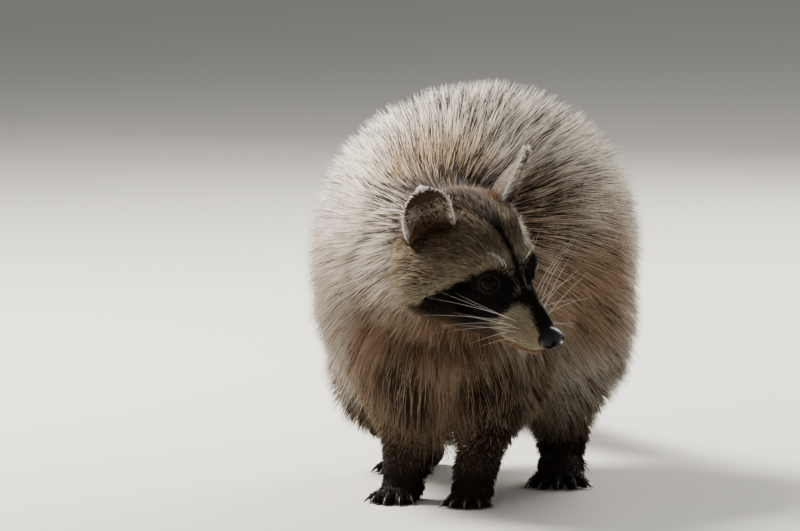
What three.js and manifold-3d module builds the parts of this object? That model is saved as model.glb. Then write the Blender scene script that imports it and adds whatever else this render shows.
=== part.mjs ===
// A northern raccoon at life size, standing square on a level floor with its back arched,
// its head lowered and turned to its own left, and its ringed tail trailing behind.
// The solids show the animal out to the tips of its coat.
// Millimetres, +Z up. The animal looks along -Y, and +X is its own left side.
import * as THREE from "three";
import { mergeVertices } from "three/addons/utils/BufferGeometryUtils.js";
import Module from "manifold-3d";

const wasm = await Module();
wasm.setup();

// ---------------------------------------------------------------- driving dimensions, mm

const GAP = 0.3; // clear cut between neighbouring parts
const SIDES = { left: 1, right: -1 };

// Trunk: five masses from chest to rump, each [centre], [half sizes], with the coat.
const TRUNK = {
  chest: { centre: [-2, -2, 150], radii: [84, 74, 84] },
  shoulders: { centre: [0, 40, 170], radii: [98, 84, 84] },
  barrel: { centre: [0, 112, 169], radii: [119, 110, 121] },
  rump: { centre: [0, 186, 169], radii: [111, 95, 118] },
  brisket: { centre: [0, 12, 96], radii: [40, 46, 56] },
};
const TRUNK_BLEND = 26;

// Neck: a thick cone from the shoulders to the back of the skull.
const NECK = { from: [4, -20, 172], to: [40, -86, 186], radii: [60, 47] };

// Head frame: the point midway between the eyes, then yaw to the left, nose down, left side up.
const HEAD = { eyes: [82, -125, 176], yaw: 63, pitch: 21, roll: 12.5 };

// Head masses, in head coordinates [forward, left, up] from the point between the eyes.
const SKULL = { centre: [-47, 0, 3], radii: [43, 37, 37] };
const CHEEK = { centre: [-53, 27, -18], radii: [30, 30, 29] };
const BROW = { centre: [-14, 10, 5], radii: [17, 15, 13] };
const MUZZLE = { from: [-8, 0, -14], to: [33, 0, -29], radii: [20, 11] };
const JAW = { from: [-36, 0, -37], to: [26, 0, -41.5], radii: [20, 8] };
const HEAD_BLEND = 11;
const EYE = { centre: [-5, 18.5, 0], radius: 8, socket: 9.5, socketAhead: [7, 9, 1] };
const NOSE = { centre: [42, 0, -29.5], radii: [8, 9.5, 7.2], nostril: 2.4, apart: 4.6 };
const MOUTH = { at: [16, 0, -39.5], down: 3, corner: 8 };

// Ears: leaf-shaped cups, placed on the skull in head coordinates. The leaf is widest at a
// share of its height, and its outline is blunter at the tip the larger the power is.
const EAR = {
  base: [-48, 35, 17],
  tip: [-47, 55, 64],
  faces: [0.82, 0.5, 0.1],
  halfWidth: 19.5,
  widest: 0.35,
  power: 2.6,
  cup: 10,
  thickness: 6,
  thinnerTip: 0.45,
  thinnerEdge: 0.6,
};

// Legs: shoulder, elbow and wrist, or hip, knee and hock. Every foot stands in its own place:
// paw is where its toes start on the floor, and turn is how far it points outwards.
const FORELEG = {
  left: { joints: [[52, 18, 128], [50, 26, 84], [28, -2, 24]], paw: [27, -10], turn: 4 },
  right: { joints: [[-50, 18, 128], [-37, 26, 84], [-24, 4, 24]], paw: [-27, 0], turn: -8 },
};
const FORELEG_RADII = [42, 26, 13];
const HINDLEG = {
  left: { joints: [[56, 158, 128], [60, 130, 78], [61, 146, 30]], paw: [65, 116], turn: 10 },
  right: { joints: [[-58, 192, 128], [-76, 168, 63], [-58, 194, 30]], paw: [-56, 172], turn: -6 },
};
const HINDLEG_RADII = [50, 38, 17];
const LEG_BLEND = 18;

// Paws: a low palm and five spread toes, each toe with its claw. Palm is its half sizes, back
// how far it lies behind the toes' start, toe the half thickness and half length.
const FOREPAW = { palm: [15, 18, 12], back: 4, toe: [4.7, 10], reach: 11, claw: 9, ankle: 13 };
const HINDPAW = { palm: [17, 33, 14], back: 12, toe: [5, 10], reach: 18, claw: 10, ankle: 17 };
const TOES = [
  { turn: -40, share: 0.7 },
  { turn: -20, share: 0.93 },
  { turn: 0, share: 1 },
  { turn: 20, share: 0.93 },
  { turn: 40, share: 0.7 },
];
const SOLE = 0.8; // how deep the round toes and pads are worn flat on the floor
const CLAW = { radius: 1.9, drop: 0.32, rooted: 4 }; // rooted is the length inside the toe

// Tail: points along its middle, and the coat's radius at each.
const TAIL = [
  { at: [0, 262, 196], r: 24 },
  { at: [-3, 312, 142], r: 29 },
  { at: [-13, 364, 92], r: 33 },
  { at: [-32, 420, 62], r: 34 },
  { at: [-54, 474, 48], r: 32 },
  { at: [-72, 516, 42], r: 24 },
  { at: [-84, 548, 41], r: 4 },
];
const TAIL_ROOT = 0.17; // share of the length at which the tail is parted from the rump
const TAIL_SEAT = { ahead: 25, radius: 42 }; // the ball of space that the tail's root comes out of
// Where the light and dark bands of the tail end, as shares of its length from root to tip.
const TAIL_BANDS = [0.25, 0.32, 0.41, 0.48, 0.57, 0.64, 0.73, 0.8, 1];

// Where the named parts are parted. A leg's block of space starts inner from the middle plane,
// splayed outwards, and ends at top, which leans down outwards from middle.
const CUTS = {
  skull: { at: [34, -76, 186], along: [0.5, -0.86, 0.1] },
  neck: { at: [8, -42, 172], along: [0.3, -0.85, 0.45] },
  chestEnd: 74,
  abdomenEnd: 152,
  foreleg: {
    side: { inner: 6, splay: 18 },
    roof: { middle: 60, top: 108, lean: 24 },
    knee: 62,
    ankle: 24,
    ends: [-90, 73],
  },
  hindleg: {
    side: { inner: 22, splay: 10 },
    roof: { middle: 60, top: 116, lean: 20 },
    knee: 72,
    ankle: 26,
    ends: [76, 290],
  },
};

// The nets of the surface: the space that each covers and the size of its cells, coarse on
// the trunk and fine on the head.
const NETS = {
  trunk: { low: [-150, -130, 34], high: [150, 350, 320], cell: 22 },
  neck: { low: [-110, -140, 60], high: [130, 40, 290], cell: 15 },
  head: { low: [-60, -210, 90], high: [170, -10, 280], cell: 8.4 },
};
const LEG_NET = { across: [-20, 150], before: 30, behind: 40, height: 175, cell: 14 };

const COLOURS = {
  grizzled: 0x8f7f6c,
  dark: 0x2e2620,
  pale: 0xcbbba4,
  ear: 0xa89a88,
  eye: 0x15100c,
  nose: 0x121010,
  paw: 0x3a3029,
};

// ---------------------------------------------------------------- fields: distance to a surface, negative inside

const clamp = (x, low, high) => Math.min(high, Math.max(low, x));

// A ball stretched to three half sizes.
function ellipsoid(centre, [rx, ry, rz]) {
  return ([x, y, z]) => {
    const dx = x - centre[0];
    const dy = y - centre[1];
    const dz = z - centre[2];
    const near = Math.hypot(dx / rx, dy / ry, dz / rz);
    const steep = Math.hypot(dx / rx ** 2, dy / ry ** 2, dz / rz ** 2);
    return steep > 0 ? (near * (near - 1)) / steep : -Math.min(rx, ry, rz);
  };
}

// A rod from a to b with round ends, whose radius changes evenly along it.
function taper(a, b, [ra, rb]) {
  const ab = b.map((v, i) => v - a[i]);
  const long = ab[0] ** 2 + ab[1] ** 2 + ab[2] ** 2;
  return (p) => {
    const ap = p.map((v, i) => v - a[i]);
    const t = clamp((ap[0] * ab[0] + ap[1] * ab[1] + ap[2] * ab[2]) / long, 0, 1);
    const away = Math.hypot(ap[0] - t * ab[0], ap[1] - t * ab[1], ap[2] - t * ab[2]);
    return away - (ra + t * (rb - ra));
  };
}

// The joined surface of several fields, rounded over the width k where they meet.
function joined(k, fields) {
  return (p) => {
    let d = fields[0](p);
    for (const field of fields.slice(1)) {
      const e = field(p);
      const h = Math.max(k - Math.abs(d - e), 0) / k;
      d = Math.min(d, e) - (h * h * k) / 4;
    }
    return d;
  };
}

// A field with another one hollowed out of it, with the edge rounded over the width k.
function hollowed(k, field, hole) {
  return (p) => {
    const d = field(p);
    const e = -hole(p);
    const h = Math.max(k - Math.abs(d - e), 0) / k;
    return Math.max(d, e) + (h * h * k) / 4;
  };
}

const mirrored = ([f, l, u], side) => [f, l * side, u];
const moved = (field, frame) => {
  const back = frame.clone().invert();
  return (p) => field(new THREE.Vector3(...p).applyMatrix4(back).toArray());
};

// ---------------------------------------------------------------- the head's frame

function headFrame() {
  const turn = new THREE.Matrix4()
    .makeRotationZ(THREE.MathUtils.degToRad(HEAD.yaw - 90))
    .multiply(new THREE.Matrix4().makeRotationY(THREE.MathUtils.degToRad(HEAD.pitch)))
    .multiply(new THREE.Matrix4().makeRotationX(THREE.MathUtils.degToRad(HEAD.roll)));
  return turn.setPosition(...HEAD.eyes);
}
const HEAD_FRAME = headFrame();
const inHead = (point) => new THREE.Vector3(...point).applyMatrix4(HEAD_FRAME);

// ---------------------------------------------------------------- the animal as one field

function trunkField() {
  return joined(
    TRUNK_BLEND,
    Object.values(TRUNK).map(({ centre, radii }) => ellipsoid(centre, radii)),
  );
}

function headField() {
  const pair = ({ centre, radii }) =>
    Object.values(SIDES).map((side) => ellipsoid(mirrored(centre, side), radii));
  const flesh = joined(HEAD_BLEND, [
    ellipsoid(SKULL.centre, SKULL.radii),
    ...pair(CHEEK),
    ...pair(BROW),
    taper(MUZZLE.from, MUZZLE.to, MUZZLE.radii),
    taper(JAW.from, JAW.to, JAW.radii),
  ]);
  const sockets = Object.values(SIDES).map((side) => {
    const at = EYE.centre.map((v, i) => v + EYE.socketAhead[i]);
    return ellipsoid(mirrored(at, side), [EYE.socket, EYE.socket, EYE.socket * 0.7]);
  });
  return moved(hollowed(6, flesh, joined(1, sockets)), HEAD_FRAME);
}

function legField([top, middle, low], radii) {
  return joined(LEG_BLEND, [
    taper(top, middle, [radii[0], radii[1]]),
    taper(middle, low, [radii[1], radii[2]]),
    taper(low, [low[0], low[1], 0], [radii[2], radii[2]]),
  ]);
}

// The tail's middle line as a smooth curve, with its radius at any share of the length.
const TAIL_CURVE = new THREE.CatmullRomCurve3(TAIL.map(({ at }) => new THREE.Vector3(...at)));
function tailRadius(share) {
  const place = share * (TAIL.length - 1);
  const i = Math.min(Math.floor(place), TAIL.length - 2);
  return THREE.MathUtils.lerp(TAIL[i].r, TAIL[i + 1].r, place - i);
}

// The plane across the tail at a share of its length: a point, and the way to the tip.
function tailCut(share) {
  return { at: TAIL_CURVE.getPoint(share), along: TAIL_CURVE.getTangent(share) };
}

const TAIL_STUMP = taper(TAIL[0].at, tailCut(TAIL_ROOT).at.toArray(), [
  tailRadius(0),
  tailRadius(TAIL_ROOT),
]);

const BODY = joined(20, [
  joined(LEG_BLEND, [
    trunkField(),
    ...Object.values(FORELEG).map(({ joints }) => legField(joints, FORELEG_RADII)),
    ...Object.values(HINDLEG).map(({ joints }) => legField(joints, HINDLEG_RADII)),
  ]),
  taper(NECK.from, NECK.to, NECK.radii),
  headField(),
  TAIL_STUMP,
]);

// ---------------------------------------------------------------- from a field to a closed surface

// Samples the field on a grid and puts one point in each cell that the surface crosses,
// at the mean of its crossings, then joins the points of the four cells round each crossed edge.
function netOf(field, { low, high, cell }) {
  const count = high.map((h, a) => Math.ceil((h - low[a]) / cell) + 1);
  const at = (i, j, k) => [low[0] + i * cell, low[1] + j * cell, low[2] + k * cell];
  const index = (i, j, k) => (k * count[1] + j) * count[0] + i;
  const values = new Float64Array(count[0] * count[1] * count[2]);
  for (let k = 0; k < count[2]; k++)
    for (let j = 0; j < count[1]; j++)
      for (let i = 0; i < count[0]; i++) {
        const rim = [i, j, k].some((v, a) => v === 0 || v === count[a] - 1);
        values[index(i, j, k)] = rim ? cell : field(at(i, j, k));
      }
  const corners = [...Array(8).keys()].map((n) => [n & 1, (n >> 1) & 1, n >> 2]);
  const edges = corners.flatMap((c, n) =>
    c.map((v, a) => (v ? null : [n, n | (1 << a)])).filter(Boolean),
  );
  const points = [];
  const pointOf = new Map();
  for (let k = 0; k + 1 < count[2]; k++)
    for (let j = 0; j + 1 < count[1]; j++)
      for (let i = 0; i + 1 < count[0]; i++) {
        const d = corners.map(([a, b, c]) => values[index(i + a, j + b, k + c)]);
        if (d.every((v) => v > 0) || d.every((v) => v <= 0)) continue;
        const mean = new THREE.Vector3();
        let crossings = 0;
        for (const [m, n] of edges) {
          if (d[m] > 0 === d[n] > 0) continue;
          const t = d[m] / (d[m] - d[n]);
          const corner = corners[m].map((v, a) => v + t * (corners[n][a] - v));
          mean.add(new THREE.Vector3(...corner));
          crossings += 1;
        }
        mean.divideScalar(crossings);
        pointOf.set(index(i, j, k), points.length);
        points.push(settle(field, at(i + mean.x, j + mean.y, k + mean.z), cell));
      }
  const faces = [];
  for (let k = 0; k + 1 < count[2]; k++)
    for (let j = 0; j + 1 < count[1]; j++)
      for (let i = 0; i + 1 < count[0]; i++) {
        const here = [i, j, k];
        for (let a = 0; a < 3; a++) {
          const [b, c] = [(a + 1) % 3, (a + 2) % 3];
          if (here[b] < 1 || here[c] < 1) continue;
          const next = here.map((v, n) => v + (n === a ? 1 : 0));
          const inside = values[index(...here)] <= 0;
          if (inside === values[index(...next)] <= 0) continue;
          const cellAt = (db, dc) =>
            pointOf.get(index(...here.map((v, n) => v - (n === b ? db : 0) - (n === c ? dc : 0))));
          const ring = [cellAt(1, 1), cellAt(0, 1), cellAt(0, 0), cellAt(1, 0)];
          if (!inside) ring.reverse();
          faces.push(...splitQuad(ring, points));
        }
      }
  const geometry = new THREE.BufferGeometry();
  geometry.setAttribute("position", new THREE.Float32BufferAttribute(points.flat(), 3));
  geometry.setIndex(faces);
  return geometry;
}

// A quad as two triangles, split along its shorter diagonal.
function splitQuad([a, b, c, d], points) {
  const apart = (m, n) => Math.hypot(...points[m].map((v, i) => v - points[n][i]));
  return apart(a, c) < apart(b, d) ? [a, b, c, a, c, d] : [a, b, d, b, c, d];
}

// Moves a point onto the field's surface, by at most a part of a cell.
function settle(field, start, cell, rounds = 3) {
  let p = start;
  for (let n = 0; n < rounds; n++) {
    const d = field(p);
    const step = 0.4;
    const slope = p.map((v, i) => (field(p.map((w, m) => (m === i ? w + step : w))) - d) / step);
    const long = slope.reduce((sum, v) => sum + v * v, 1e-9);
    const go = clamp(d, -cell * 0.3, cell * 0.3) / long;
    p = p.map((v, i) => v - slope[i] * go);
  }
  return p;
}

// ---------------------------------------------------------------- solids: joins and cuts

function solid(geometry) {
  const bare = geometry.clone();
  bare.deleteAttribute("normal");
  bare.deleteAttribute("uv");
  const merged = mergeVertices(bare, 1e-3);
  return new wasm.Manifold(
    new wasm.Mesh({
      numProp: 3,
      vertProperties: new Float32Array(merged.attributes.position.array),
      triVerts: new Uint32Array(merged.index.array),
    }),
  );
}

function geometryOf(made) {
  const mesh = made.getMesh();
  const geometry = new THREE.BufferGeometry();
  geometry.setAttribute("position", new THREE.BufferAttribute(mesh.vertProperties, 3));
  geometry.setIndex(new THREE.BufferAttribute(mesh.triVerts, 1));
  geometry.computeVertexNormals();
  return geometry;
}

const HUGE = 1500;

// Everything on the side of a plane that its normal points to, a little clear of the plane.
function beyond(at, along, clear = GAP / 2) {
  const normal = new THREE.Vector3(...along).normalize();
  const box = new THREE.BoxGeometry(HUGE, HUGE, HUGE);
  box.translate(0, 0, HUGE / 2 + clear);
  box.applyQuaternion(new THREE.Quaternion().setFromUnitVectors(new THREE.Vector3(0, 0, 1), normal));
  box.translate(...at);
  return solid(box);
}
const reverse = (along) => along.map((v) => -v);

// The block of space that holds one leg: its inner face, its roof, its front and its back.
function legBlock(side, { side: flank, roof, ankle, ends }, clear = 0) {
  const s = SIDES[side];
  const splay = THREE.MathUtils.degToRad(flank.splay);
  const lean = THREE.MathUtils.degToRad(roof.lean);
  const outward = [s * Math.cos(splay), 0, -Math.sin(splay)];
  const under = [-s * Math.sin(lean), 0, -Math.cos(lean)];
  return beyond([s * flank.inner, 0, ankle], outward, clear)
    .intersect(beyond([s * roof.middle, 0, roof.top], under, clear))
    .intersect(beyond([0, ends[0], 0], [0, 1, 0], clear))
    .intersect(beyond([0, ends[1], 0], [0, -1, 0], clear));
}

// ---------------------------------------------------------------- the parts

function trunkParts() {
  const whole = solid(netOf(BODY, NETS.trunk));
  const legs = Object.keys(SIDES)
    .flatMap((side) => [
      legBlock(side, CUTS.foreleg, -GAP / 2),
      legBlock(side, CUTS.hindleg, -GAP / 2),
    ])
    .reduce((all, block) => all.add(block));
  const root = tailCut(TAIL_ROOT);
  const bare = whole
    .subtract(legs)
    .intersect(beyond(CUTS.neck.at, reverse(CUTS.neck.along)))
    .subtract(
      ballAt(root.at.clone().addScaledVector(root.along, TAIL_SEAT.ahead), TAIL_SEAT.radius).intersect(
        beyond(root.at.toArray(), root.along.toArray(), -GAP / 2),
      ),
    );
  const chestCut = [0, CUTS.chestEnd, 0];
  const abdomenCut = [0, CUTS.abdomenEnd, 0];
  return {
    chest: bare.intersect(beyond(chestCut, [0, -1, 0])),
    abdomen: bare
      .intersect(beyond(chestCut, [0, 1, 0]))
      .intersect(beyond(abdomenCut, [0, -1, 0])),
    hindquarters: bare.intersect(beyond(abdomenCut, [0, 1, 0])),
  };
}

function ballAt(centre, radius, around = 16, down = 10) {
  return solid(new THREE.SphereGeometry(radius, around, down).translate(...centre.toArray()));
}

function neckPart() {
  return solid(netOf(BODY, NETS.neck))
    .intersect(beyond(CUTS.neck.at, CUTS.neck.along))
    .intersect(beyond(CUTS.skull.at, reverse(CUTS.skull.along)));
}

// A ball placed in the head's frame.
function headBall(centre, radii, around = 12, down = 8) {
  const ball = new THREE.SphereGeometry(1, around, down);
  ball.scale(...radii);
  ball.translate(...centre);
  return solid(ball.applyMatrix4(HEAD_FRAME));
}

// Head coordinates as a half-space: everything beyond a point in the way given.
function headBeyond(at, along, clear = GAP / 2) {
  const way = new THREE.Vector3(...along).transformDirection(HEAD_FRAME);
  return beyond(inHead(at).toArray(), way.toArray(), clear);
}

function headParts() {
  const whole = solid(netOf(BODY, NETS.head)).intersect(beyond(CUTS.skull.at, CUTS.skull.along));
  const lip = [Math.sin(THREE.MathUtils.degToRad(MOUTH.down)), 0, -1];
  const jawBlock = (clear) =>
    headBeyond(MOUTH.at, lip, clear).intersect(headBeyond([MOUTH.corner, 0, 0], [1, 0, 0], clear));
  const made = { lower_jaw: whole.intersect(jawBlock(GAP / 2)) };
  const grow = (radii) => radii.map((r) => r + GAP);
  let head = whole
    .subtract(jawBlock(-GAP / 2))
    .subtract(headBall(NOSE.centre, grow(NOSE.radii), 14, 9));
  let nose = headBall(NOSE.centre, NOSE.radii, 14, 9);
  for (const [side, s] of Object.entries(SIDES)) {
    const eye = mirrored(EYE.centre, s);
    head = head.subtract(headBall(eye, grow([EYE.radius, EYE.radius, EYE.radius])));
    made[`eye_${side}`] = headBall(eye, [EYE.radius, EYE.radius, EYE.radius]);
    const hole = [NOSE.centre[0] + NOSE.radii[0], s * NOSE.apart, NOSE.centre[2]];
    const width = NOSE.nostril;
    nose = nose.subtract(headBall(hole, [width * 1.6, width, width], 7, 5));
    const [ear, socket] = [earSolid(s, 0), earSolid(s, 2 * GAP)];
    head = head.subtract(socket);
    made[`ear_${side}`] = ear;
  }
  return { head, ...made, nose };
}

// A leaf-shaped cup: a sheet that narrows to a round tip and curls round its long axis, with
// a front and a back face a thickness apart. u runs across it and v from root to tip, and the
// cup is deepest a quarter of the way up.
function earSolid(s, grow, across = 6, up = 7) {
  const [base, tip] = [EAR.base, EAR.tip].map((p) => new THREE.Vector3(...mirrored(p, s)));
  const long = tip.clone().sub(base);
  const rise = long.clone().normalize();
  const open = new THREE.Vector3(...mirrored(EAR.faces, s)).normalize();
  const wide = new THREE.Vector3().crossVectors(rise, open).normalize();
  const face = new THREE.Vector3().crossVectors(wide, rise);
  const place = (u, v, front) => {
    const fromWidest = Math.abs(v - EAR.widest) / (1.003 - EAR.widest);
    const half = (EAR.halfWidth + grow) * Math.sqrt(1 - fromWidest ** EAR.power);
    const curl = EAR.cup * (1 - u * u) * (0.35 + 0.65 * Math.sin(Math.PI * Math.min(1, v + 0.25)));
    const thin = (1 - EAR.thinnerEdge * u ** 4) * (1 - EAR.thinnerTip * v);
    const wall = (EAR.thickness / 2) * thin + grow;
    return base
      .clone()
      .addScaledVector(rise, v * (long.length() + 2 * grow) - grow)
      .addScaledVector(wide, u * half)
      .addScaledVector(face, (front ? wall : -wall) - curl)
      .applyMatrix4(HEAD_FRAME)
      .toArray();
  };
  const points = [];
  for (const front of [true, false])
    for (let j = 0; j <= up; j++)
      for (let i = 0; i <= across; i++) points.push(place((2 * i) / across - 1, j / up, front));
  const row = across + 1;
  const sheet = row * (up + 1);
  const faces = [];
  const quad = (a, b, c, d) => faces.push(a, b, c, a, c, d);
  for (let j = 0; j < up; j++)
    for (let i = 0; i < across; i++) {
      const [a, b] = [j * row + i, (j + 1) * row + i];
      quad(a, a + 1, b + 1, b);
      quad(sheet + a, sheet + b, sheet + b + 1, sheet + a + 1);
    }
  const rim = [];
  for (let i = 0; i < across; i++) rim.push(i);
  for (let j = 0; j < up; j++) rim.push(j * row + across);
  for (let i = across; i > 0; i--) rim.push(up * row + i);
  for (let j = up; j > 0; j--) rim.push(j * row);
  rim.forEach((a, n) => {
    const b = rim[(n + 1) % rim.length];
    quad(a, sheet + a, sheet + b, b);
  });
  const geometry = new THREE.BufferGeometry();
  geometry.setAttribute("position", new THREE.Float32BufferAttribute(points.flat(), 3));
  geometry.setIndex(faces);
  return solid(geometry);
}

// One leg in two lengths, cut from a net of the whole body round that leg.
function legParts(side, name, cut) {
  const across = side === "left" ? LEG_NET.across : reverse(LEG_NET.across).reverse();
  const whole = solid(
    netOf(BODY, {
      low: [across[0], cut.ends[0] - LEG_NET.before, 0],
      high: [across[1], cut.ends[1] + LEG_NET.behind, LEG_NET.height],
      cell: LEG_NET.cell,
    }),
  )
    .intersect(legBlock(side, cut, GAP / 2))
    .intersect(beyond(CUTS.neck.at, reverse(CUTS.neck.along)));
  const above = (height) => beyond([0, 0, height], [0, 0, 1]);
  const below = (height) => beyond([0, 0, height], [0, 0, -1]);
  return {
    [`${name}_upper_${side}`]: whole.intersect(above(cut.knee)),
    [`${name}_lower_${side}`]: whole.intersect(below(cut.knee)).intersect(above(cut.ankle)),
  };
}

// A ball stretched along its own way, turned about the upright.
function lump(at, radii, turn, around, down) {
  const ball = new THREE.SphereGeometry(1, around, down);
  ball.scale(...radii);
  ball.rotateZ(turn);
  return solid(ball.translate(...at));
}

// A paw: palm, ankle and five toes with claws, worn flat where it meets the floor.
function pawPart({ joints, paw: [x, y], turn: toOut }, size, cut) {
  const ankleAt = joints[2];
  const [wide, long, high] = size.palm;
  const [thick, length] = size.toe;
  const heading = THREE.MathUtils.degToRad(toOut);
  const back = [x - Math.sin(heading) * size.back, y + Math.cos(heading) * size.back];
  let paw = lump([...back, high - SOLE], size.palm, heading, 10, 6);
  const foot = high * 0.6; // the ankle's rod ends inside the palm
  const stem = new THREE.CylinderGeometry(size.ankle, size.ankle, cut - foot, 9);
  stem.rotateX(Math.PI / 2);
  paw = paw.add(solid(stem.translate(ankleAt[0], ankleAt[1], (cut + foot) / 2)));
  for (const { turn, share } of TOES) {
    const angle = THREE.MathUtils.degToRad(turn + toOut);
    const at = (far, z) => [x + Math.sin(angle) * far, y - Math.cos(angle) * far, z];
    const middle = size.reach + length * share * 0.6; // each toe is partly inside the palm
    const clawAt = middle + length * 0.85 + (size.claw - CLAW.rooted - 2) / 2;
    const claw = new THREE.ConeGeometry(CLAW.radius, size.claw + CLAW.rooted, 5);
    claw.rotateX(Math.PI + CLAW.drop);
    claw.rotateZ(angle);
    paw = paw
      .add(lump(at(middle, thick - SOLE), [thick, length, thick], angle, 6, 5))
      .add(solid(claw.translate(...at(clawAt, thick * 0.95))));
  }
  return paw
    .intersect(beyond([0, 0, 0], [0, 0, 1], 0))
    .intersect(beyond([0, 0, cut], [0, 0, -1]));
}

// A length of the tail between two shares of it: rings of points, closed flat at both ends.
function tailBand(start, end, around = 14, rings = 3) {
  const points = [];
  const faces = [];
  const long = TAIL_CURVE.getLength();
  for (let j = 0; j <= rings; j++) {
    const clear = (GAP / 2 / long) * (j === 0 ? 1 : j === rings ? -1 : 0);
    const share = start + ((end - start) * j) / rings + clear;
    const { at, along } = tailCut(Math.min(share, 1));
    const side = new THREE.Vector3(1, 0, 0).projectOnPlane(along).normalize();
    const up = new THREE.Vector3().crossVectors(side, along);
    for (let i = 0; i < around; i++) {
      const t = (2 * Math.PI * i) / around;
      const out = side.clone().multiplyScalar(Math.cos(t)).addScaledVector(up, Math.sin(t));
      points.push(at.clone().addScaledVector(out, tailRadius(share)).toArray());
    }
  }
  const corner = (j, i) => j * around + (i % around);
  for (let j = 0; j < rings; j++)
    for (let i = 0; i < around; i++) {
      const [a, b, c, d] = [corner(j, i), corner(j, i + 1), corner(j + 1, i + 1), corner(j + 1, i)];
      faces.push(a, c, b, a, d, c);
    }
  for (let i = 1; i + 1 < around; i++) {
    faces.push(corner(0, 0), corner(0, i), corner(0, i + 1));
    faces.push(corner(rings, 0), corner(rings, i + 1), corner(rings, i));
  }
  const geometry = new THREE.BufferGeometry();
  geometry.setAttribute("position", new THREE.Float32BufferAttribute(points.flat(), 3));
  geometry.setIndex(faces);
  return solid(geometry);
}

function tailParts() {
  const starts = [TAIL_ROOT, ...TAIL_BANDS];
  return Object.fromEntries(
    TAIL_BANDS.map((end, n) => [`tail_band_${n + 1}`, tailBand(starts[n], end, 14, end < 1 ? 3 : 6)]),
  );
}

const parts = {
  ...trunkParts(),
  neck: neckPart(),
  ...headParts(),
  ...tailParts(),
};
for (const side of Object.keys(SIDES)) {
  const [fore, hind] = [FORELEG[side], HINDLEG[side]];
  Object.assign(parts, legParts(side, "foreleg", CUTS.foreleg));
  Object.assign(parts, legParts(side, "hindleg", CUTS.hindleg));
  parts[`forepaw_${side}`] = pawPart(fore, FOREPAW, CUTS.foreleg.ankle);
  parts[`hindpaw_${side}`] = pawPart(hind, HINDPAW, CUTS.hindleg.ankle);
}

// The coat's tone on each part, by the start of its name; tail bands take turns.
const TONES = [
  [/^eye/, "eye", 0.12],
  [/^nose/, "nose", 0.35],
  [/paw/, "paw", 0.85],
  [/^ear/, "ear", 0.9],
  [/_lower_(left|right)/, "dark", 0.9],
  [/^lower_jaw/, "pale", 0.9],
  [/^tail_band_[13579]$/, "pale", 0.9],
  [/^tail_band_[2468]$/, "dark", 0.9],
  [/./, "grizzled", 0.9],
];

const raccoon = new THREE.Group();
for (const [name, made] of Object.entries(parts)) {
  const [, tone, roughness] = TONES.find(([pattern]) => pattern.test(name));
  const material = new THREE.MeshStandardMaterial({ color: COLOURS[tone], roughness });
  const mesh = new THREE.Mesh(geometryOf(made), material);
  mesh.name = name;
  raccoon.add(mesh);
}

// The part's origin is the middle of its box, on the floor.
const whole = new THREE.Box3().setFromObject(raccoon);
const middle = whole.getCenter(new THREE.Vector3());
for (const mesh of raccoon.children) mesh.geometry.translate(-middle.x, -middle.y, -whole.min.z);

export default raccoon;
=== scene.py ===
import math

import bpy
import numpy as np
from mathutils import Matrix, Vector


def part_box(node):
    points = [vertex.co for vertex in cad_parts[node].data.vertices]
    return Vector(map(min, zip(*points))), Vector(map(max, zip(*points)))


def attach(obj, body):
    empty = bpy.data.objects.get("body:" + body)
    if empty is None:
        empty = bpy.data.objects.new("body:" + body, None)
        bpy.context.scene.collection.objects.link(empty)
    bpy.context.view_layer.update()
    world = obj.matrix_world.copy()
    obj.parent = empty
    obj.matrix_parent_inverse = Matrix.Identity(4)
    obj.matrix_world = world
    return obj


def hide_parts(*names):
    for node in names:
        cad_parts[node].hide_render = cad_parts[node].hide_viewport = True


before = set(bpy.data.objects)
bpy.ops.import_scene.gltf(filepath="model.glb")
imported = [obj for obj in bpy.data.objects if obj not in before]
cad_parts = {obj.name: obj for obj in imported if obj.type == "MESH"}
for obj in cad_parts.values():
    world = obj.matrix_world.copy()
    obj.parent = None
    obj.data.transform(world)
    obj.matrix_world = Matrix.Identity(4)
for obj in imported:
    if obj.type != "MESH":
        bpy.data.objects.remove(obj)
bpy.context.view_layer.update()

# ---------------------------------------------------------------- driving dimensions, mm

SIDES = {"left": 1, "right": -1}

TRUNK = [
    ((-2, -2, 150), (84, 74, 84)),  # chest
    ((0, 40, 170), (98, 84, 84)),  # shoulders
    ((0, 112, 169), (119, 110, 121)),  # barrel
    ((0, 186, 169), (111, 95, 118)),  # rump
    ((0, 12, 96), (40, 46, 56)),  # brisket
]
TRUNK_BLEND = 26
NECK = ((4, -20, 172), (40, -86, 186), 60, 47)

HEAD_AT = (82, -125, 176)  # midway between the eyes
HEAD_TURN = {"yaw": 63, "pitch": 21, "roll": 12.5}
SKULL = ((-47, 0, 3), (43, 37, 37))
CHEEK = ((-53, 27, -18), (30, 30, 29))
BROW = ((-14, 10, 5), (17, 15, 13))
MUZZLE = ((-8, 0, -14), (33, 0, -29), 20, 11)
JAW = ((-36, 0, -37), (26, 0, -41.5), 20, 8)
HEAD_BLEND = 11
EYE = {"centre": (-5, 18.5, 0), "radius": 8, "socket": 9.5, "look": (0.6, 0.78, 0.04)}
LID = {"thick": 1.4, "blend": 3.5, "opening": ((9.5, 0, 0), (7.5, 7.7, 6.4))}
PAD = ((27, 6.3, -31.5), (11, 7, 6.5))  # the swelling that the whiskers stand in
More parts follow.
